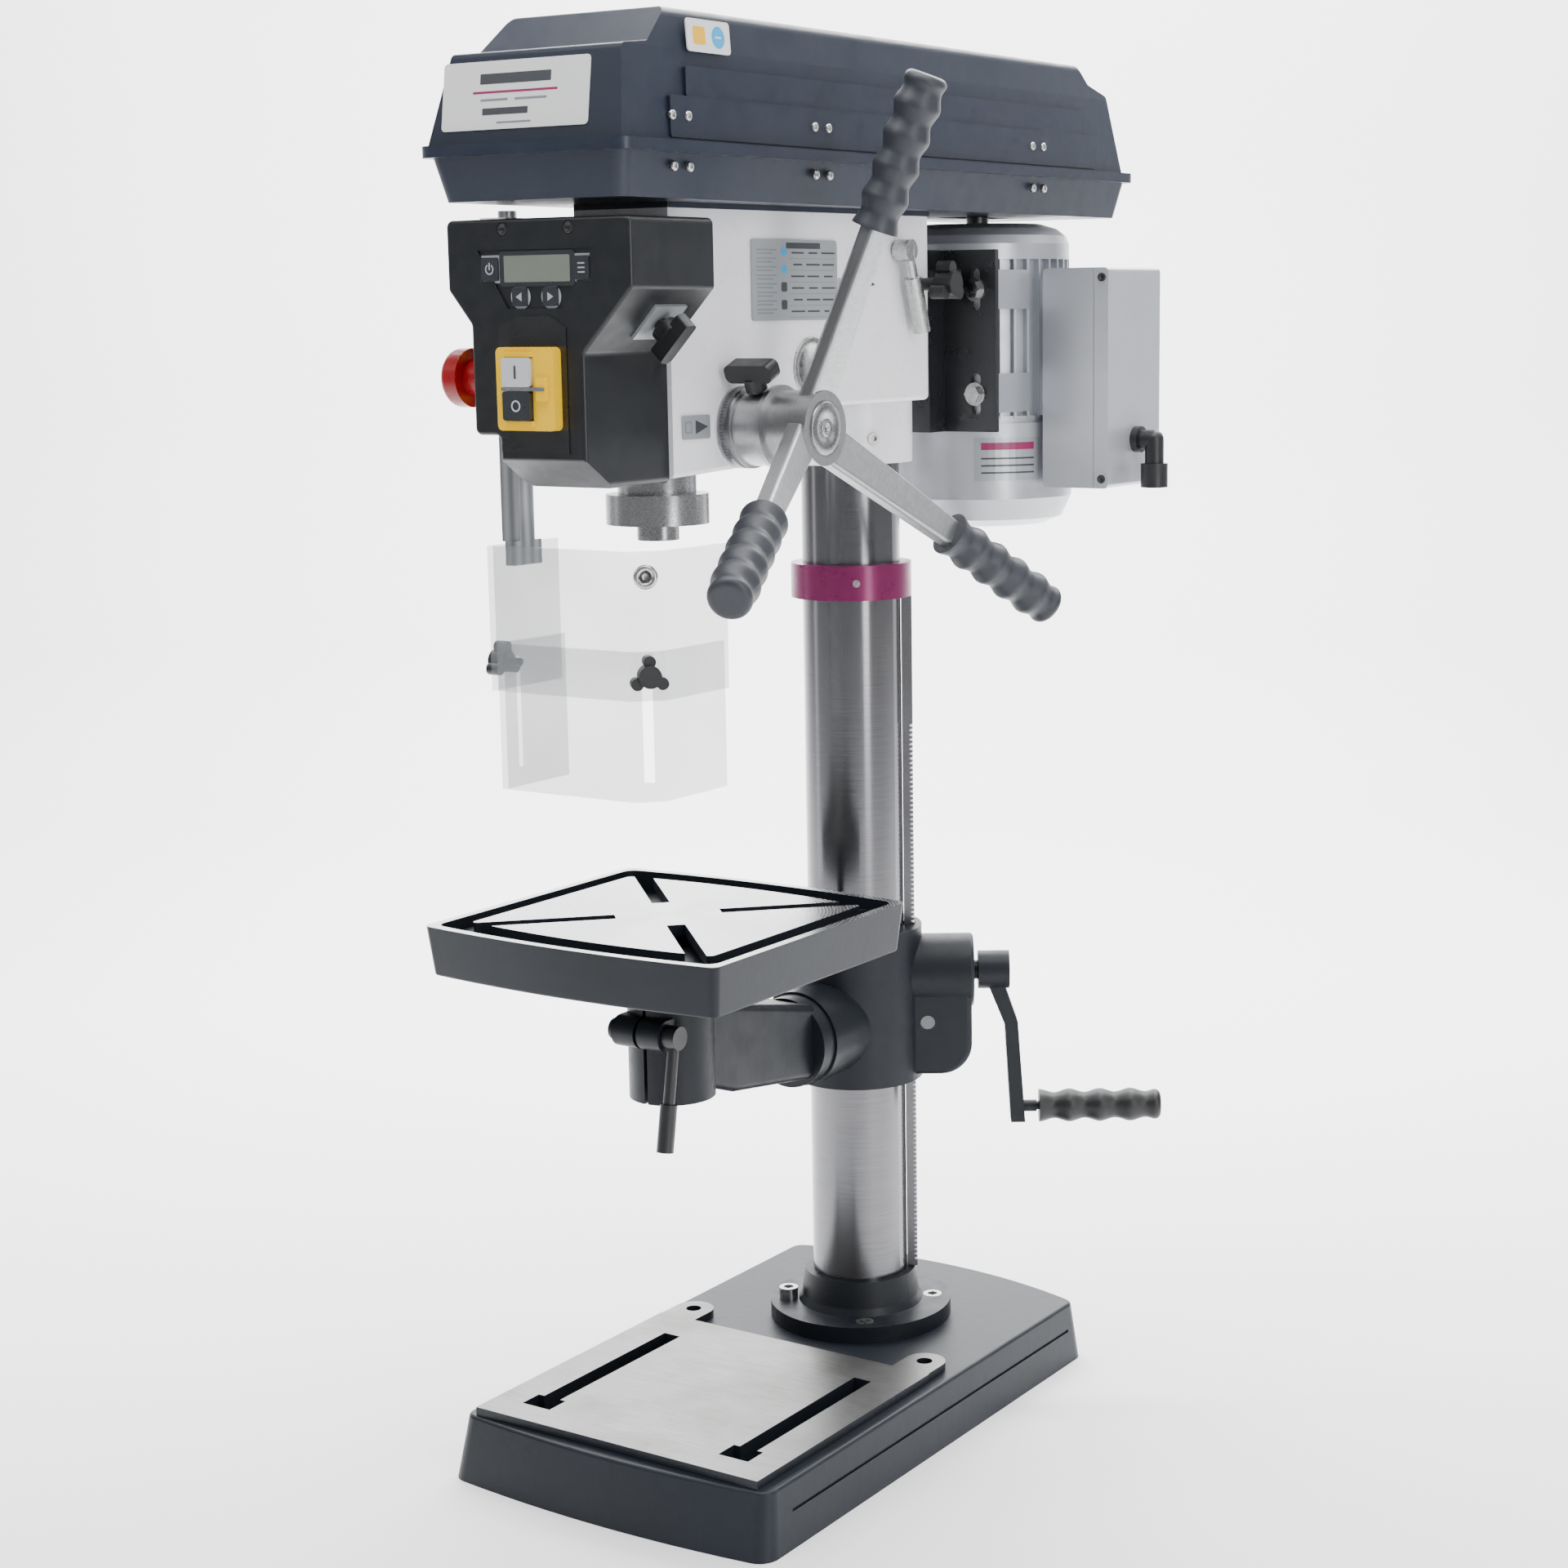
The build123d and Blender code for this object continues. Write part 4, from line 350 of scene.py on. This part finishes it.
finish_of = {
    turned_table(): ["drill_table"],
    milled_base(): ["base"],
    casting: ["column_foot", "table_bracket", "table_arm", "crank"],
    white_head: ["head_casting"],
    cover_paint: ["belt_pan", "belt_lid"],
    silver_paint: ["motor_body", "fan_cowl", "terminal_box"],
    black_paint: ["motor_plate", "spring_case"],
    ring_finish: ["rack_ring"],
    column_steel(): ["column_tube"],
    steel: ["quill", "spindle", "slide_bars", "quill_bearings"],
    dark_steel: ["rack", "rack_pinion", "pinion_shaft", "centre_arm", "motor_rotor", "return_spring"],
    zinc: ["column_bolts", "motor_bolts", "tension_lever"],
    aluminium: ["feed_handle", "depth_ring", "spindle_pulley", "centre_pulley", "motor_pulley"],
    grooved_extrusion(): ["guard_rod"],
    label_grey: ["small_plates"],
    housing_plastic: ["control_housing"],
    knob_plastic: ["lock_knob", "slot_knob", "side_knob", "rotary_knob", "depth_knob", "table_lever",
                   "bracket_lever", "cable_gland"],
    grip_rubber: ["handle_grips"],
    black_grip: ["crank_grip"],
    yellow: ["switch_frame", "stop_collar"],
    red: ["stop_button"],
    pale_key: ["start_button"],
    dark_key: ["off_button", "power_key", "menu_key", "mode_key", "unit_key"],
    belt_rubber: ["front_belt", "rear_belt"],
    clear_sheet(): ["upper_shield", "lower_shield"],
}
for material, nodes in finish_of.items():
    for node in nodes:
        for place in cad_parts[node].material_slots:
            place.material = material


# ================================================================ piece helpers
def piece(name, mesh, materials, body, smooth=False):
    """Turns a bmesh into an object that rides on a body and takes a slot."""
    data = bpy.data.meshes.new(name)
    bmesh.ops.recalc_face_normals(mesh, faces=mesh.faces)
    for face in mesh.faces:
        face.smooth = smooth
    mesh.to_mesh(data)
    mesh.free()
    for material in materials:
        data.materials.append(material)
    made = bpy.data.objects.new(name, data)
    bpy.context.scene.collection.objects.link(made)
    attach(made, body)
    return made


def slab(mesh, place, outline, low, high, index=0):
    """Adds a plate to the mesh: an outline in mm in the plane of place, between two heights in mm."""
    rings = [[mesh.verts.new(place @ Vector((x * MM, y * MM, z * MM))) for x, y in outline]
             for z in (low, high)]
    faces = [mesh.faces.new(rings[1]), mesh.faces.new(list(reversed(rings[0])))]
    for k in range(len(outline)):
        n = (k + 1) % len(outline)
        faces.append(mesh.faces.new((rings[0][k], rings[0][n], rings[1][n], rings[1][k])))
    for face in faces:
        face.material_index = index


def rounded(w, h, r, x=0.0, y=0.0, steps=5):
    """Rounded rectangle outline in mm."""
    out = []
    for cx, cy, turn in ((w / 2 - r, h / 2 - r, 0), (-w / 2 + r, h / 2 - r, 90),
                         (-w / 2 + r, -h / 2 + r, 180), (w / 2 - r, -h / 2 + r, 270)):
        for k in range(steps + 1):
            a = math.radians(turn + 90 * k / steps)
            out.append((x + cx + r * math.cos(a), y + cy + r * math.sin(a)))
    return out


def disc(r, x=0.0, y=0.0, steps=32):
    """Circle outline in mm."""
    turns = [2 * math.pi * k / steps for k in range(steps)]
    return [(x + r * math.cos(a), y + r * math.sin(a)) for a in turns]


def turned(mesh, place, profile, steps=36, index=0):
    """Adds a turned solid: (radius, height) in mm about place's Z; the first and last radius are 0."""
    rings = []
    for r, h in profile:
        if r == 0:
            rings.append([mesh.verts.new(place @ Vector((0, 0, h * MM)))])
        else:
            rings.append([mesh.verts.new(place @ Vector((x * MM, y * MM, h * MM)))
                          for x, y in disc(r, steps=steps)])
    for a, b in zip(rings, rings[1:]):
        for k in range(steps):
            n = (k + 1) % steps
            corners = [a[k % len(a)], a[n % len(a)], b[n % len(b)], b[k % len(b)]]
            face = mesh.faces.new([v for i, v in enumerate(corners) if v not in corners[:i]])
            face.material_index = index


def facing(x, y, z, out, up=(0, 0, 1)):
    """Matrix whose Z points out and Y points up, at a place in mm."""
    w = Vector(out).normalized()
    u = Vector(up).cross(w).normalized()
    v = w.cross(u)
    turn = Matrix((u, v, w)).transposed().to_4x4()
    return Matrix.Translation(Vector((x, y, z)) * MM) @ turn


def dome_rivet(mesh, place, r, h):
    """Domed head of radius r and height h in mm, sunk 1.5 mm into what it holds."""
    turned(mesh, place, [(0, -1.5), (r, -1.5), (r, 0.3), (r * 0.85, h * 0.7), (r * 0.5, h * 0.95),
                         (0, h)], 20)


def socket_screw(mesh, place, r, h):
    """Flat head of radius r and height h in mm with a round socket 1.2 mm deep."""
    turned(mesh, place, [(0, -1.5), (r, -1.5), (r, h - 0.4), (r - 0.4, h), (r * 0.5, h),
                         (r * 0.5, h - 1.2), (0, h - 1.2)], 18)


def head_side(y):
    """The x in mm of the head's right side at a y in mm."""
    return HEAD_FRONT[0] + HEAD_SLOPE * (y - HEAD_FRONT[1])


# ================================================================ labels and trim
def lid_labels():
    """Nameplate on the cover's sloping front and a small label on its side."""
    front_low, front_high = Vector((0, -398.0, 1010.4)), Vector((0, -390.0, 1071.0))
    rise = front_high - front_low
    out = Vector((0, -rise.z, rise.y)).normalized()
    middle = front_low + rise * 0.52 + out * 0.25
    mesh = bmesh.new()
    place = facing(middle.x - 8, middle.y, middle.z, out)
    slab(mesh, place, rounded(128, 46, 3), -0.2, 0.5, 0)
    slab(mesh, place, rounded(74, 1.6, 0.4, 0, 2.0), 0.4, 0.62, 1)
    for x, y, w, h, tint in ((0, 11, 62, 7.0, 2), (-18, -3.2, 24, 1.6, 3), (14, -3.2, 28, 1.6, 3),
                             (-8, -11, 40, 4.6, 2), (0, -18.6, 30, 1.3, 3)):
        slab(mesh, place, rounded(w, h, 0.5, x, y), 0.4, 0.62, tint)
    piece("cover_nameplate", mesh, [label_white, ink_band, ink_dark, ink_grey], "belt_cover")

    mesh = bmesh.new()
    place = facing(82.6, -296, 1081, (1, 0, 0.075))
    slab(mesh, place, rounded(50, 22, 3), -0.6, 0.5, 0)
    slab(mesh, place, disc(7.5, 11, 0), 0.4, 0.62, 1)
    slab(mesh, place, rounded(14, 12, 2.0, -11, 0), 0.4, 0.62, 2)
    slab(mesh, place, rounded(7, 1.2, 0.4, 11, 0), 0.6, 0.7, 0)
    piece("cover_side_label", mesh, [label_white, ink_blue, ink_yellow], "belt_cover")


def hinge_rivets():
    """Domed rivets along the cover's hinge: three pairs on the lid and three on the pan."""
    for name, body, x, z in (("cover_rivets", "belt_cover", 85.6, 1026.5),
                             ("pan_rivets", "machine_frame", 86.3, 993.0)):
        mesh = bmesh.new()
        for y in (-343, -325, -171, -153, 150, 168):
            dome_rivet(mesh, facing(x, y, z, (1, 0, 0)), 3.6, 2.0)
        piece(name, mesh, [zinc], body, True)


def head_plates():
    """Data plate and scale pointer on the head's right side."""
    out = (1, -HEAD_SLOPE, 0)
    plate_y, pointer_y, stand_off = -148.0, -268.0, 1.0
    mesh = bmesh.new()
    place = facing(head_side(plate_y) + stand_off, plate_y, 918.0, out)
    slab(mesh, place, rounded(105, 59, 3), -0.6, 0.25, 0)
    for k in range(8):
        slab(mesh, place, rounded(24, 1.1, 0.3, -35, 22 - 6.2 * k), 0.2, 0.34, 1)
        slab(mesh, place, rounded(19, 1.1, 0.3, -37, 19.4 - 6.2 * k), 0.2, 0.34, 1)
    for k, tint in ((0, 3), (1, 3), (2, 2), (3, 2)):
        y = 21 - 13 * k
        outline = disc(3.4, -14, y, 20) if k < 2 else rounded(7, 7, 1.5, -14, y)
        slab(mesh, place, outline, 0.2, 0.36, tint)
    for row in range(6):
        for column in range(3):
            w = (15, 11, 17)[(row + column) % 3]
            slab(mesh, place, rounded(w, 1.3, 0.4, 3 + 19 * column, 20 - 8.6 * row), 0.2, 0.34, 2)
        slab(mesh, place, rounded(56, 0.35, 0.1, 20, 15.8 - 8.6 * row), 0.2, 0.32, 1)
    slab(mesh, place, rounded(42, 4.4, 0.8, 10, 25.2), 0.2, 0.36, 2)
    piece("data_plate", mesh, [label_grey, ink_grey, ink_dark, ink_blue], "machine_frame")

    mesh = bmesh.new()
    place = facing(head_side(pointer_y) + stand_off, pointer_y, 814.0, out)
    slab(mesh, place, rounded(31, 17, 1.5), -0.6, 0.25, 0)
    slab(mesh, place, rounded(8, 9, 1.0, -9, 0), 0.2, 0.34, 1)
    slab(mesh, place, rounded(5, 6, 0.8, -9, 0), 0.3, 0.4, 0)
    slab(mesh, place, [(-1, -5), (13, 0), (-1, 5)], 0.2, 0.38, 2)
    piece("scale_pointer", mesh, [label_grey, ink_grey, ink_dark], "machine_frame")


def head_cover_disc():
    """Bright round cap with a raised rim on the head's right side."""
    cap_y = -128.0
    place = facing(head_side(cap_y), cap_y, 853.0, (1, -HEAD_SLOPE, 0))
    mesh = bmesh.new()
    turned(mesh, place, [(0, -2), (23, -2), (23, 0.8), (22.2, 1.3), (17, 1.3), (16.4, 0.7), (0, 0.7)], 48)
    piece("head_cap", mesh, [zinc], "machine_frame", True)


def scale_marks():
    """Graduations round the depth ring, long, middle and short, and the steel band beside them."""
    low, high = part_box("depth_ring")
    y, z = (low[1] + high[1]) / 2 / MM, (low[2] + high[2]) / 2 / MM
    radius = (high[2] - low[2]) / 2 / MM
    mesh = bmesh.new()
    count = 72
    for k in range(count):
        a = 2 * math.pi * k / count
        length = 6.5 if k % 6 == 0 else 4.6 if k % 3 == 0 else 3.2
        out = (0, math.cos(a), math.sin(a))
        foot = radius - 0.1
        place = facing(49.6 + length / 2, y + foot * out[1], z + foot * out[2], out, (1, 0, 0))
        slab(mesh, place, rounded(0.55, length, 0.1, steps=1), 0, 0.16)
    piece("depth_scale_marks", mesh, [ink_dark], "depth_scale")
    mesh = bmesh.new()
    place = facing(49.2, y, z, (1, 0, 0))
    band = [(radius - 0.35, 0), (radius + 0.05, 0), (radius + 0.05, 9.4), (radius - 0.35, 9.4)]
    rings = [[mesh.verts.new(place @ Vector((u * MM, v * MM, h * MM))) for u, v in disc(r, steps=count)]
             for r, h in band]
    for i, ring_here in enumerate(rings):
        ring_next = rings[(i + 1) % len(rings)]
        for k in range(count):
            n = (k + 1) % count
            mesh.faces.new((ring_here[k], ring_here[n], ring_next[n], ring_next[k]))
    piece("depth_scale_band", mesh, [dark_steel], "depth_scale", True)


def hub_cap():
    """Cap on the feed hub's end with a turned groove and a screw head with a round socket."""
    low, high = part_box("pinion_shaft")
    y, z = (low[1] + high[1]) / 2 / MM, (low[2] + high[2]) / 2 / MM
    mesh = bmesh.new()
    place = facing(122.0, y, z, (1, 0, 0))
    turned(mesh, place, [(0, -1), (19.2, -1), (19.2, 0.9), (18.4, 1.5), (8.2, 1.5), (7.8, 0.9), (5.4, 0.9),
                         (5.2, 1.4), (3.0, 1.4), (3.0, 0.2), (0, 0.2)], 48)
    piece("hub_cap", mesh, [steel], "feed_star", True)


def panel_face():
    """Display, key legends, screws and the switch's backing plate on the control housing."""
    mesh = bmesh.new()
    place = facing(0, PANEL_FRONT + 1.2, 0, (0, -1, 0))
    slab(mesh, place, rounded(66, 24, 2, -0.5, 926), -0.2, 0.9, 0)
    slab(mesh, place, rounded(58, 18, 1, -0.5, 926), 0.8, 1.05, 1)
    for x, w, h in ((-42, 15, 16), (39, 13, 16)):
        slab(mesh, place, rounded(w + 3, h + 3, 2, x, 926), -0.2, 0.35, 2)
    for x in (-16, 11):
        slab(mesh, place, disc(8.6, x, 907, 28), -0.2, 0.35, 2)
    piece("display", mesh, [dark_key, lcd_glass, key_legend], "machine_frame")

    for name, body, x, z in (("power_legend", "key_power", -42, 926), ("menu_legend", "key_menu", 39, 926),
                             ("mode_legend", "key_mode", -16, 907), ("unit_legend", "key_unit", 11, 907)):
        mesh = bmesh.new()
        place = facing(x, PANEL_FRONT - 0.6, z, (0, -1, 0))
        if name == "power_legend":
            slab(mesh, place, rounded(1.2, 5, 0.3, 0, 2), -0.1, 0.15)
            arc = [math.radians(120 + 30 * k) for k in range(11)]
            outer, inner = ([(r * math.cos(a), r * math.sin(a)) for a in arc] for r in (3.8, 2.8))
            for i in range(len(arc) - 1):
                slab(mesh, place, [outer[i], outer[i + 1], inner[i + 1], inner[i]], -0.1, 0.15)
        elif name == "menu_legend":
            for k in range(3):
                slab(mesh, place, rounded(6, 1.0, 0.3, 0, 3 - 3 * k), -0.1, 0.15)
        else:
            turn = 1 if name == "mode_legend" else -1
            slab(mesh, place, [(-3 * turn, 0), (2 * turn, 3), (2 * turn, -3)], -0.1, 0.15)
        piece(name, mesh, [key_legend], body)

    mesh = bmesh.new()
    for x, z in ((-30, 953), (28, 953), (-3, 881), (-26, 806), (19, 806)):
        socket_screw(mesh, facing(x, PANEL_FRONT + 1.6, z, (0, -1, 0)), 4.2, 2.0)
    piece("panel_screws", mesh, [knob_plastic], "machine_frame", True)

    mesh = bmesh.new()
    outline = [(-36, 886), (-18, 894), (10, 894), (24, 886), (24, 800), (-36, 800)]
    slab(mesh, facing(0, PANEL_FRONT, 0, (0, -1, 0)), outline, -0.3, 0.7)
    piece("switch_backing", mesh, [black_paint], "machine_frame")


def switch_trim():
    """Marks on the two switch buttons, and the tab, cross bar and lips of the yellow frame round them."""
    mesh = bmesh.new()
    slab(mesh, facing(-12, BUTTON_FRONT, 856, (0, -1, 0)), rounded(1.6, 9, 0.4), -0.2, 0.3)
    piece("start_mark", mesh, [ink_dark], "start")
    mesh = bmesh.new()
    place = facing(-12, BUTTON_FRONT, 833, (0, -1, 0))
    outer, inner = disc(4, steps=16), disc(3, steps=16)
    for i in range(16):
        n = (i + 1) % 16
        slab(mesh, place, [outer[i], outer[n], inner[n], inner[i]], -0.2, 0.3)
    piece("off_mark", mesh, [pale_key], "off")
    mesh = bmesh.new()
    slab(mesh, facing(9, SWITCH_FRONT, 844.5, (0, -1, 0)), rounded(9, 16, 1.5), -0.3, 2.2, 0)
    slab(mesh, facing(-6.5, SWITCH_FRONT, 844.5, (0, -1, 0)), rounded(38, 2.6, 0.6), -0.3, 3.0, 1)
    for z in (868, 821):
        slab(mesh, facing(-12, SWITCH_FRONT, z, (0, -1, 0)), rounded(26, 3.4, 0.8), -0.3, 2.0, 0)
    piece("switch_guard", mesh, [yellow, zinc], "machine_frame")


def motor_trim():
    """Screws on the terminal box and the label round the fan cowl."""
    low, high = ([v / MM for v in corner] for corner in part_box("terminal_box"))
    mesh = bmesh.new()
    for z in (low[2] + 8, high[2] - 8):
        for y, out in ((low[1], -1), (high[1], 1)):
            socket_screw(mesh, facing(high[0] - 6, y, z, (0, out, 0)), 3.6, 1.4)
    piece("box_screws", mesh, [knob_plastic], "motor_carriage", True)
    mesh = bmesh.new()
    low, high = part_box("fan_cowl")
    r = (high[0] - low[0]) / 2 / MM
    y = (high[1] + low[1]) / 2 / MM
    first, sweep, steps = -62, 42, 10
    for k in range(steps):
        a, b = (math.radians(first + sweep * n / steps) for n in (k, k + 1))
        for tint, z_low, z_high, lift in ((0, 752, 788, 0.35), (1, 778, 784, 0.5), (2, 770, 771.5, 0.5),
                                          (2, 764, 765.5, 0.5), (2, 758, 759.5, 0.5)):
            if tint and k in (0, steps - 1):
                continue
            ring = [(r - 0.3, a), (r + lift, a), (r + lift, b), (r - 0.3, b)]
            outline = [(q * math.cos(t), y + q * math.sin(t)) for q, t in ring]
            slab(mesh, Matrix.Identity(4), outline, z_low, z_high, tint)
    piece("motor_label", mesh, [label_grey, ink_band, ink_dark], "motor_carriage")


def guard_trim():
    """Grommet in the guard's slanted pane."""
    mesh = bmesh.new()
    place = facing(39.5, -326.5, 711.0, (1, -1, 0))
    turned(mesh, place, [(0, -4.4), (7.4, -4.4), (7.4, -3.2), (6.1, -2.6), (6.1, 1.4), (8.8, 1.6),
                         (8.8, 2.4), (7.0, 3.2), (4.6, 3.0), (4.2, -3.8), (0, -3.8)], 28)
    piece("guard_grommet", mesh, [zinc], "guard", True)


lid_labels()
hinge_rivets()
head_plates()
head_cover_disc()
scale_marks()
hub_cap()
panel_face()
switch_trim()
motor_trim()
guard_trim()


# ================================================================ studio
def studio():
    """Pale floor that sweeps up into a backdrop, a soft sky, and the lights."""
    floor_finish = Finish("pale_floor")
    floor_finish.set(Base_Color=linear("#f6f6f7"), Roughness=0.9)
    mesh = bmesh.new()
    profile = [(-4.0, 0.0), (1.6, 0.0), (2.1, 0.08), (2.5, 0.32), (2.72, 0.72), (2.8, 1.2), (2.8, 4.5)]
    half_width = 6.0
    rows = [[mesh.verts.new((x, y, z)) for y, z in profile] for x in (-half_width, half_width)]
    for k in range(len(profile) - 1):
        mesh.faces.new((rows[0][k], rows[1][k], rows[1][k + 1], rows[0][k + 1]))
    data = bpy.data.meshes.new("studio_sweep")
    mesh.to_mesh(data)
    mesh.free()
    data.materials.append(floor_finish.material)
    sweep = bpy.data.objects.new("studio_sweep", data)
    sweep.rotation_euler = (0, 0, math.radians(BACKDROP_TURN))
    bpy.context.scene.collection.objects.link(sweep)
    for face in data.polygons:
        face.use_smooth = True

    world = bpy.data.worlds.new("soft_studio")
    world.use_nodes = True
    background = world.node_tree.nodes["Background"]
    background.inputs["Color"].default_value = (0.96, 0.97, 1.0, 1)
    background.inputs["Strength"].default_value = 0.34
    bpy.context.scene.world = world

    centre = Vector((0, -0.03, 0.55))
    for name, azimuth, elevation, distance, w, h, power in (
            ("key", -24, 42, 2.6, 1.4, 1.4, 14),
            ("strip_left", -62, 6, 2.2, 0.3, 2.2, 3),
            ("fill_right", 67, 16, 2.5, 0.6, 2.2, 32),
            ("side_wash", 112, 30, 2.7, 1.6, 1.6, 10),
            ("top", 20, 82, 2.6, 2.6, 2.6, 140),
            ("rear", 200, 48, 2.4, 2.4, 1.4, 90)):
        a, e = math.radians(azimuth), math.radians(elevation)
        out = Vector((math.sin(a) * math.cos(e), -math.cos(a) * math.cos(e), math.sin(e)))
        area_light(name, centre + out * distance, centre, w, h, power)
    turn = math.radians(BACKDROP_TURN)
    behind = Vector((-math.sin(turn), math.cos(turn), 0))
    spot, target = behind * 0.9 + Vector((0, 0, 2.3)), behind * 2.8 + Vector((0, 0, 0.5))
    area_light("backdrop_wash", spot, target, 3.6, 0.8, 240)


def area_light(name, spot, target, w, h, power):
    """Rectangular light w by h metres at spot, turned to target, power in watts."""
    lamp = bpy.data.lights.new(name, "AREA")
    lamp.shape = "RECTANGLE"
    lamp.size, lamp.size_y, lamp.energy = w, h, power
    made = bpy.data.objects.new(name, lamp)
    made.location = spot
    made.rotation_mode = "QUATERNION"
    made.rotation_quaternion = (target - spot).to_track_quat("-Z", "Y")
    bpy.context.scene.collection.objects.link(made)


def camera():
    """Camera at the measured angle, its optical middle a little off the frame's middle.

    Angles are in degrees and distances in metres. The focal length and the middle count in
    units of which the frame's side has 1920.
    """
    azimuth, elevation, tilt = 32.72, 10.40, -0.66
    side, focal, middle_x, middle_y = 1920, 3354.9, 1078.16, 994.67
    distance, aside, lift = 2.27515, 0.02169, 0.48503
    a, e, roll = (math.radians(v) for v in (azimuth, elevation, tilt))
    back = Vector((math.sin(a) * math.cos(e), -math.cos(a) * math.cos(e), math.sin(e)))
    right = (-back).cross(Vector((0, 0, 1))).normalized()
    up = right.cross(-back)
    level_right = right * math.cos(roll) + up * math.sin(roll)
    level_up = up * math.cos(roll) - right * math.sin(roll)
    data = bpy.data.cameras.new("camera")
    data.sensor_width = 36.0
    data.lens = focal / side * data.sensor_width
    data.shift_x = (side / 2 - middle_x) / side
    data.shift_y = (middle_y - side / 2) / side
    made = bpy.data.objects.new("camera", data)
    spot = back * distance + right * aside + Vector((0, 0, lift))
    turn = Matrix((level_right, level_up, back)).transposed().to_4x4()
    made.matrix_world = Matrix.Translation(spot) @ turn
    bpy.context.scene.collection.objects.link(made)
    bpy.context.scene.camera = made


studio()
camera()
